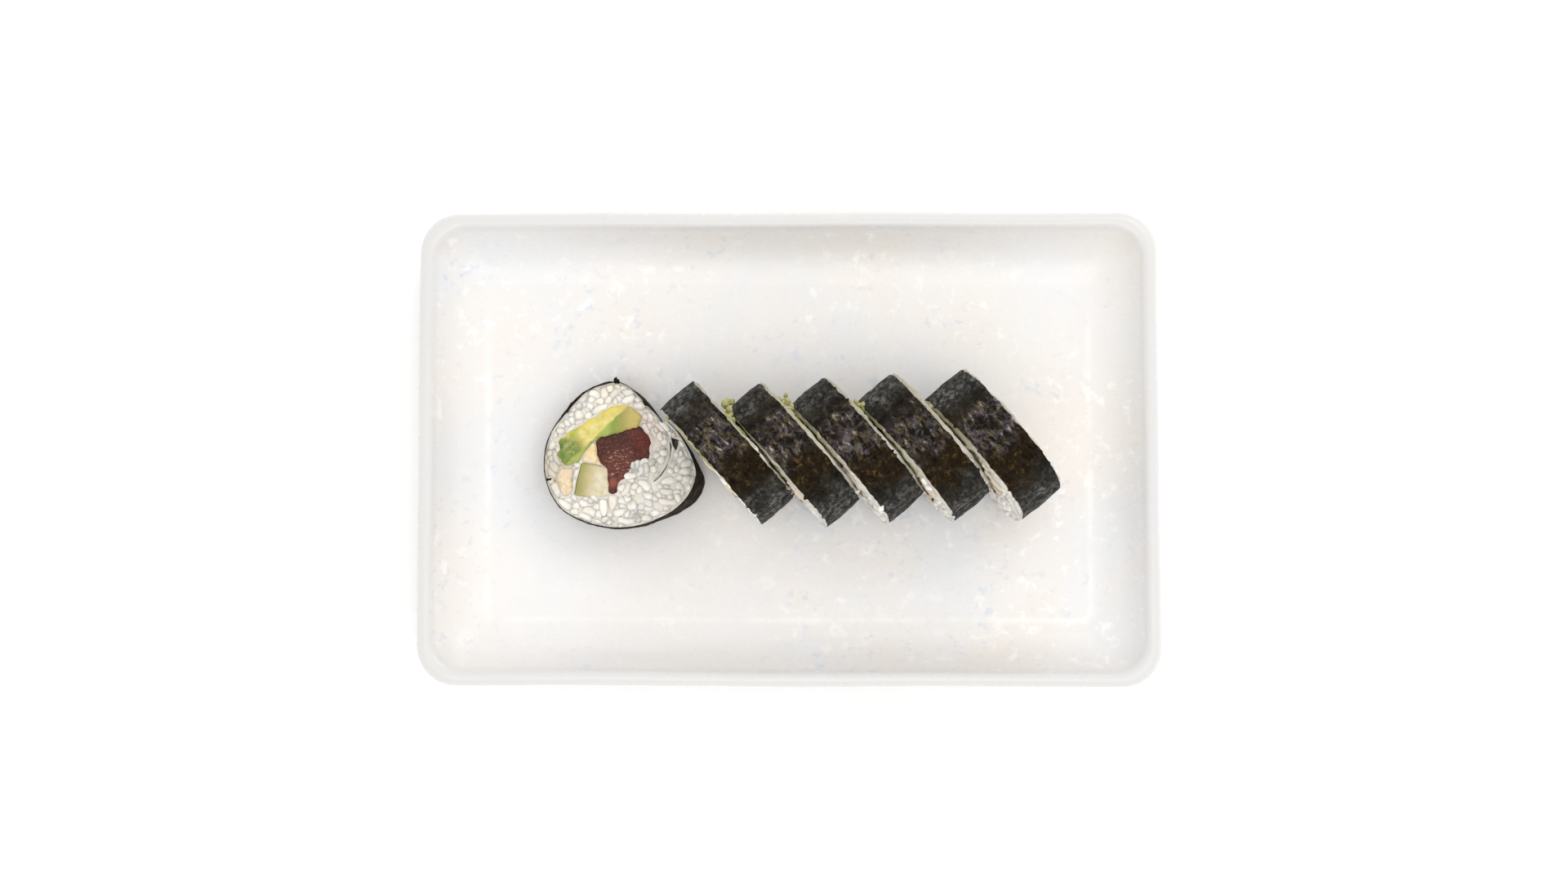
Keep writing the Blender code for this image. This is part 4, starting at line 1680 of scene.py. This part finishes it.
class MAKI_OT_nori(bpy.types.Operator):
    """Wrap every slice in its sheet of nori"""

    bl_idname = "maki.nori"
    bl_label = "Nori"

    def execute(self, context):
        thick = context.scene.maki_slices.nori_thick / MM
        for number, place, turn, span, _ in slice_plan():
            build_nori(number, place, turn, span, thick)
        return {"FINISHED"}


class MAKI_OT_rice(bpy.types.Operator):
    """Pack every slice with rice"""

    bl_idname = "maki.rice"
    bl_label = "Rice"

    def execute(self, context):
        for number, place, _, _, span in slice_plan():
            build_rice(number, place, span, context.scene.maki_slices)
        return {"FINISHED"}


class MAKI_OT_fillings(bpy.types.Operator):
    """Lay tuna, avocado, egg and cucumber through every slice"""

    bl_idname = "maki.fillings"
    bl_label = "Fillings"

    def execute(self, context):
        for number, place, _, _, span in slice_plan():
            for name in FILLINGS:
                build_filling(number, name, place, span)
        return {"FINISHED"}


class MAKI_OT_crumbs(bpy.types.Operator):
    """Scatter the crumbs, stray grains and scraps of nori"""

    bl_idname = "maki.crumbs"
    bl_label = "Crumbs"

    def execute(self, context):
        build_crumbs("avocado_crumbs", AVOCADO_CRUMBS, "avocado", (-3.0, 11.0), 3, 0.75)
        build_crumbs("avocado_rind_crumbs", RIND_CRUMBS, "avocado", (-17.0, 0.0), 4, 0.35)
        build_strays(context.scene.maki_slices)
        build_flecks()
        return {"FINISHED"}


class MAKI_OT_stage(bpy.types.Operator):
    """Set the table, the lights and the camera"""

    bl_idname = "maki.stage"
    bl_label = "Stage"

    def execute(self, context):
        build_stage(context.scene.maki_stage)
        return {"FINISHED"}


class MAKI_PT_panel(bpy.types.Panel):
    """Lists the pieces of the serving"""

    bl_idname = "MAKI_PT_panel"
    bl_label = "Maki on a dish"
    bl_space_type = "VIEW_3D"
    bl_region_type = "UI"
    bl_category = "Maki"

    def draw(self, context):
        scene = context.scene
        groups = (
            (scene.maki_dish, ("glaze", "wobble"), (MAKI_OT_dish,)),
            (
                scene.maki_slices,
                ("grain_long", "grain_wide", "nori_thick", "seed"),
                (MAKI_OT_nori, MAKI_OT_rice, MAKI_OT_fillings, MAKI_OT_crumbs),
            ),
            (scene.maki_stage, ("room_light", "window_light", "lens"), (MAKI_OT_stage,)),
        )
        for settings, names, operators in groups:
            box = self.layout.box()
            for name in names:
                box.prop(settings, name)
            for operator in operators:
                box.operator(operator.bl_idname)


CLASSES = (
    MakiDishSettings,
    MakiSliceSettings,
    MakiStageSettings,
    MAKI_OT_dish,
    MAKI_OT_nori,
    MAKI_OT_rice,
    MAKI_OT_fillings,
    MAKI_OT_crumbs,
    MAKI_OT_stage,
    MAKI_PT_panel,
)


def register():
    """Makes the settings, the operators and the panel known."""
    for cls in CLASSES:
        bpy.utils.register_class(cls)
    bpy.types.Scene.maki_dish = bpy.props.PointerProperty(type=MakiDishSettings)
    bpy.types.Scene.maki_slices = bpy.props.PointerProperty(type=MakiSliceSettings)
    bpy.types.Scene.maki_stage = bpy.props.PointerProperty(type=MakiStageSettings)


def unregister():
    """Takes them away again."""
    del bpy.types.Scene.maki_stage
    del bpy.types.Scene.maki_slices
    del bpy.types.Scene.maki_dish
    for cls in reversed(CLASSES):
        bpy.utils.unregister_class(cls)


def main():
    """Makes every piece in turn, then the stage."""
    register()
    bpy.ops.maki.dish()
    bpy.ops.maki.fillings()
    bpy.ops.maki.rice()
    bpy.ops.maki.nori()
    bpy.ops.maki.crumbs()
    bpy.ops.maki.stage()


if __name__ == "__main__":
    main()
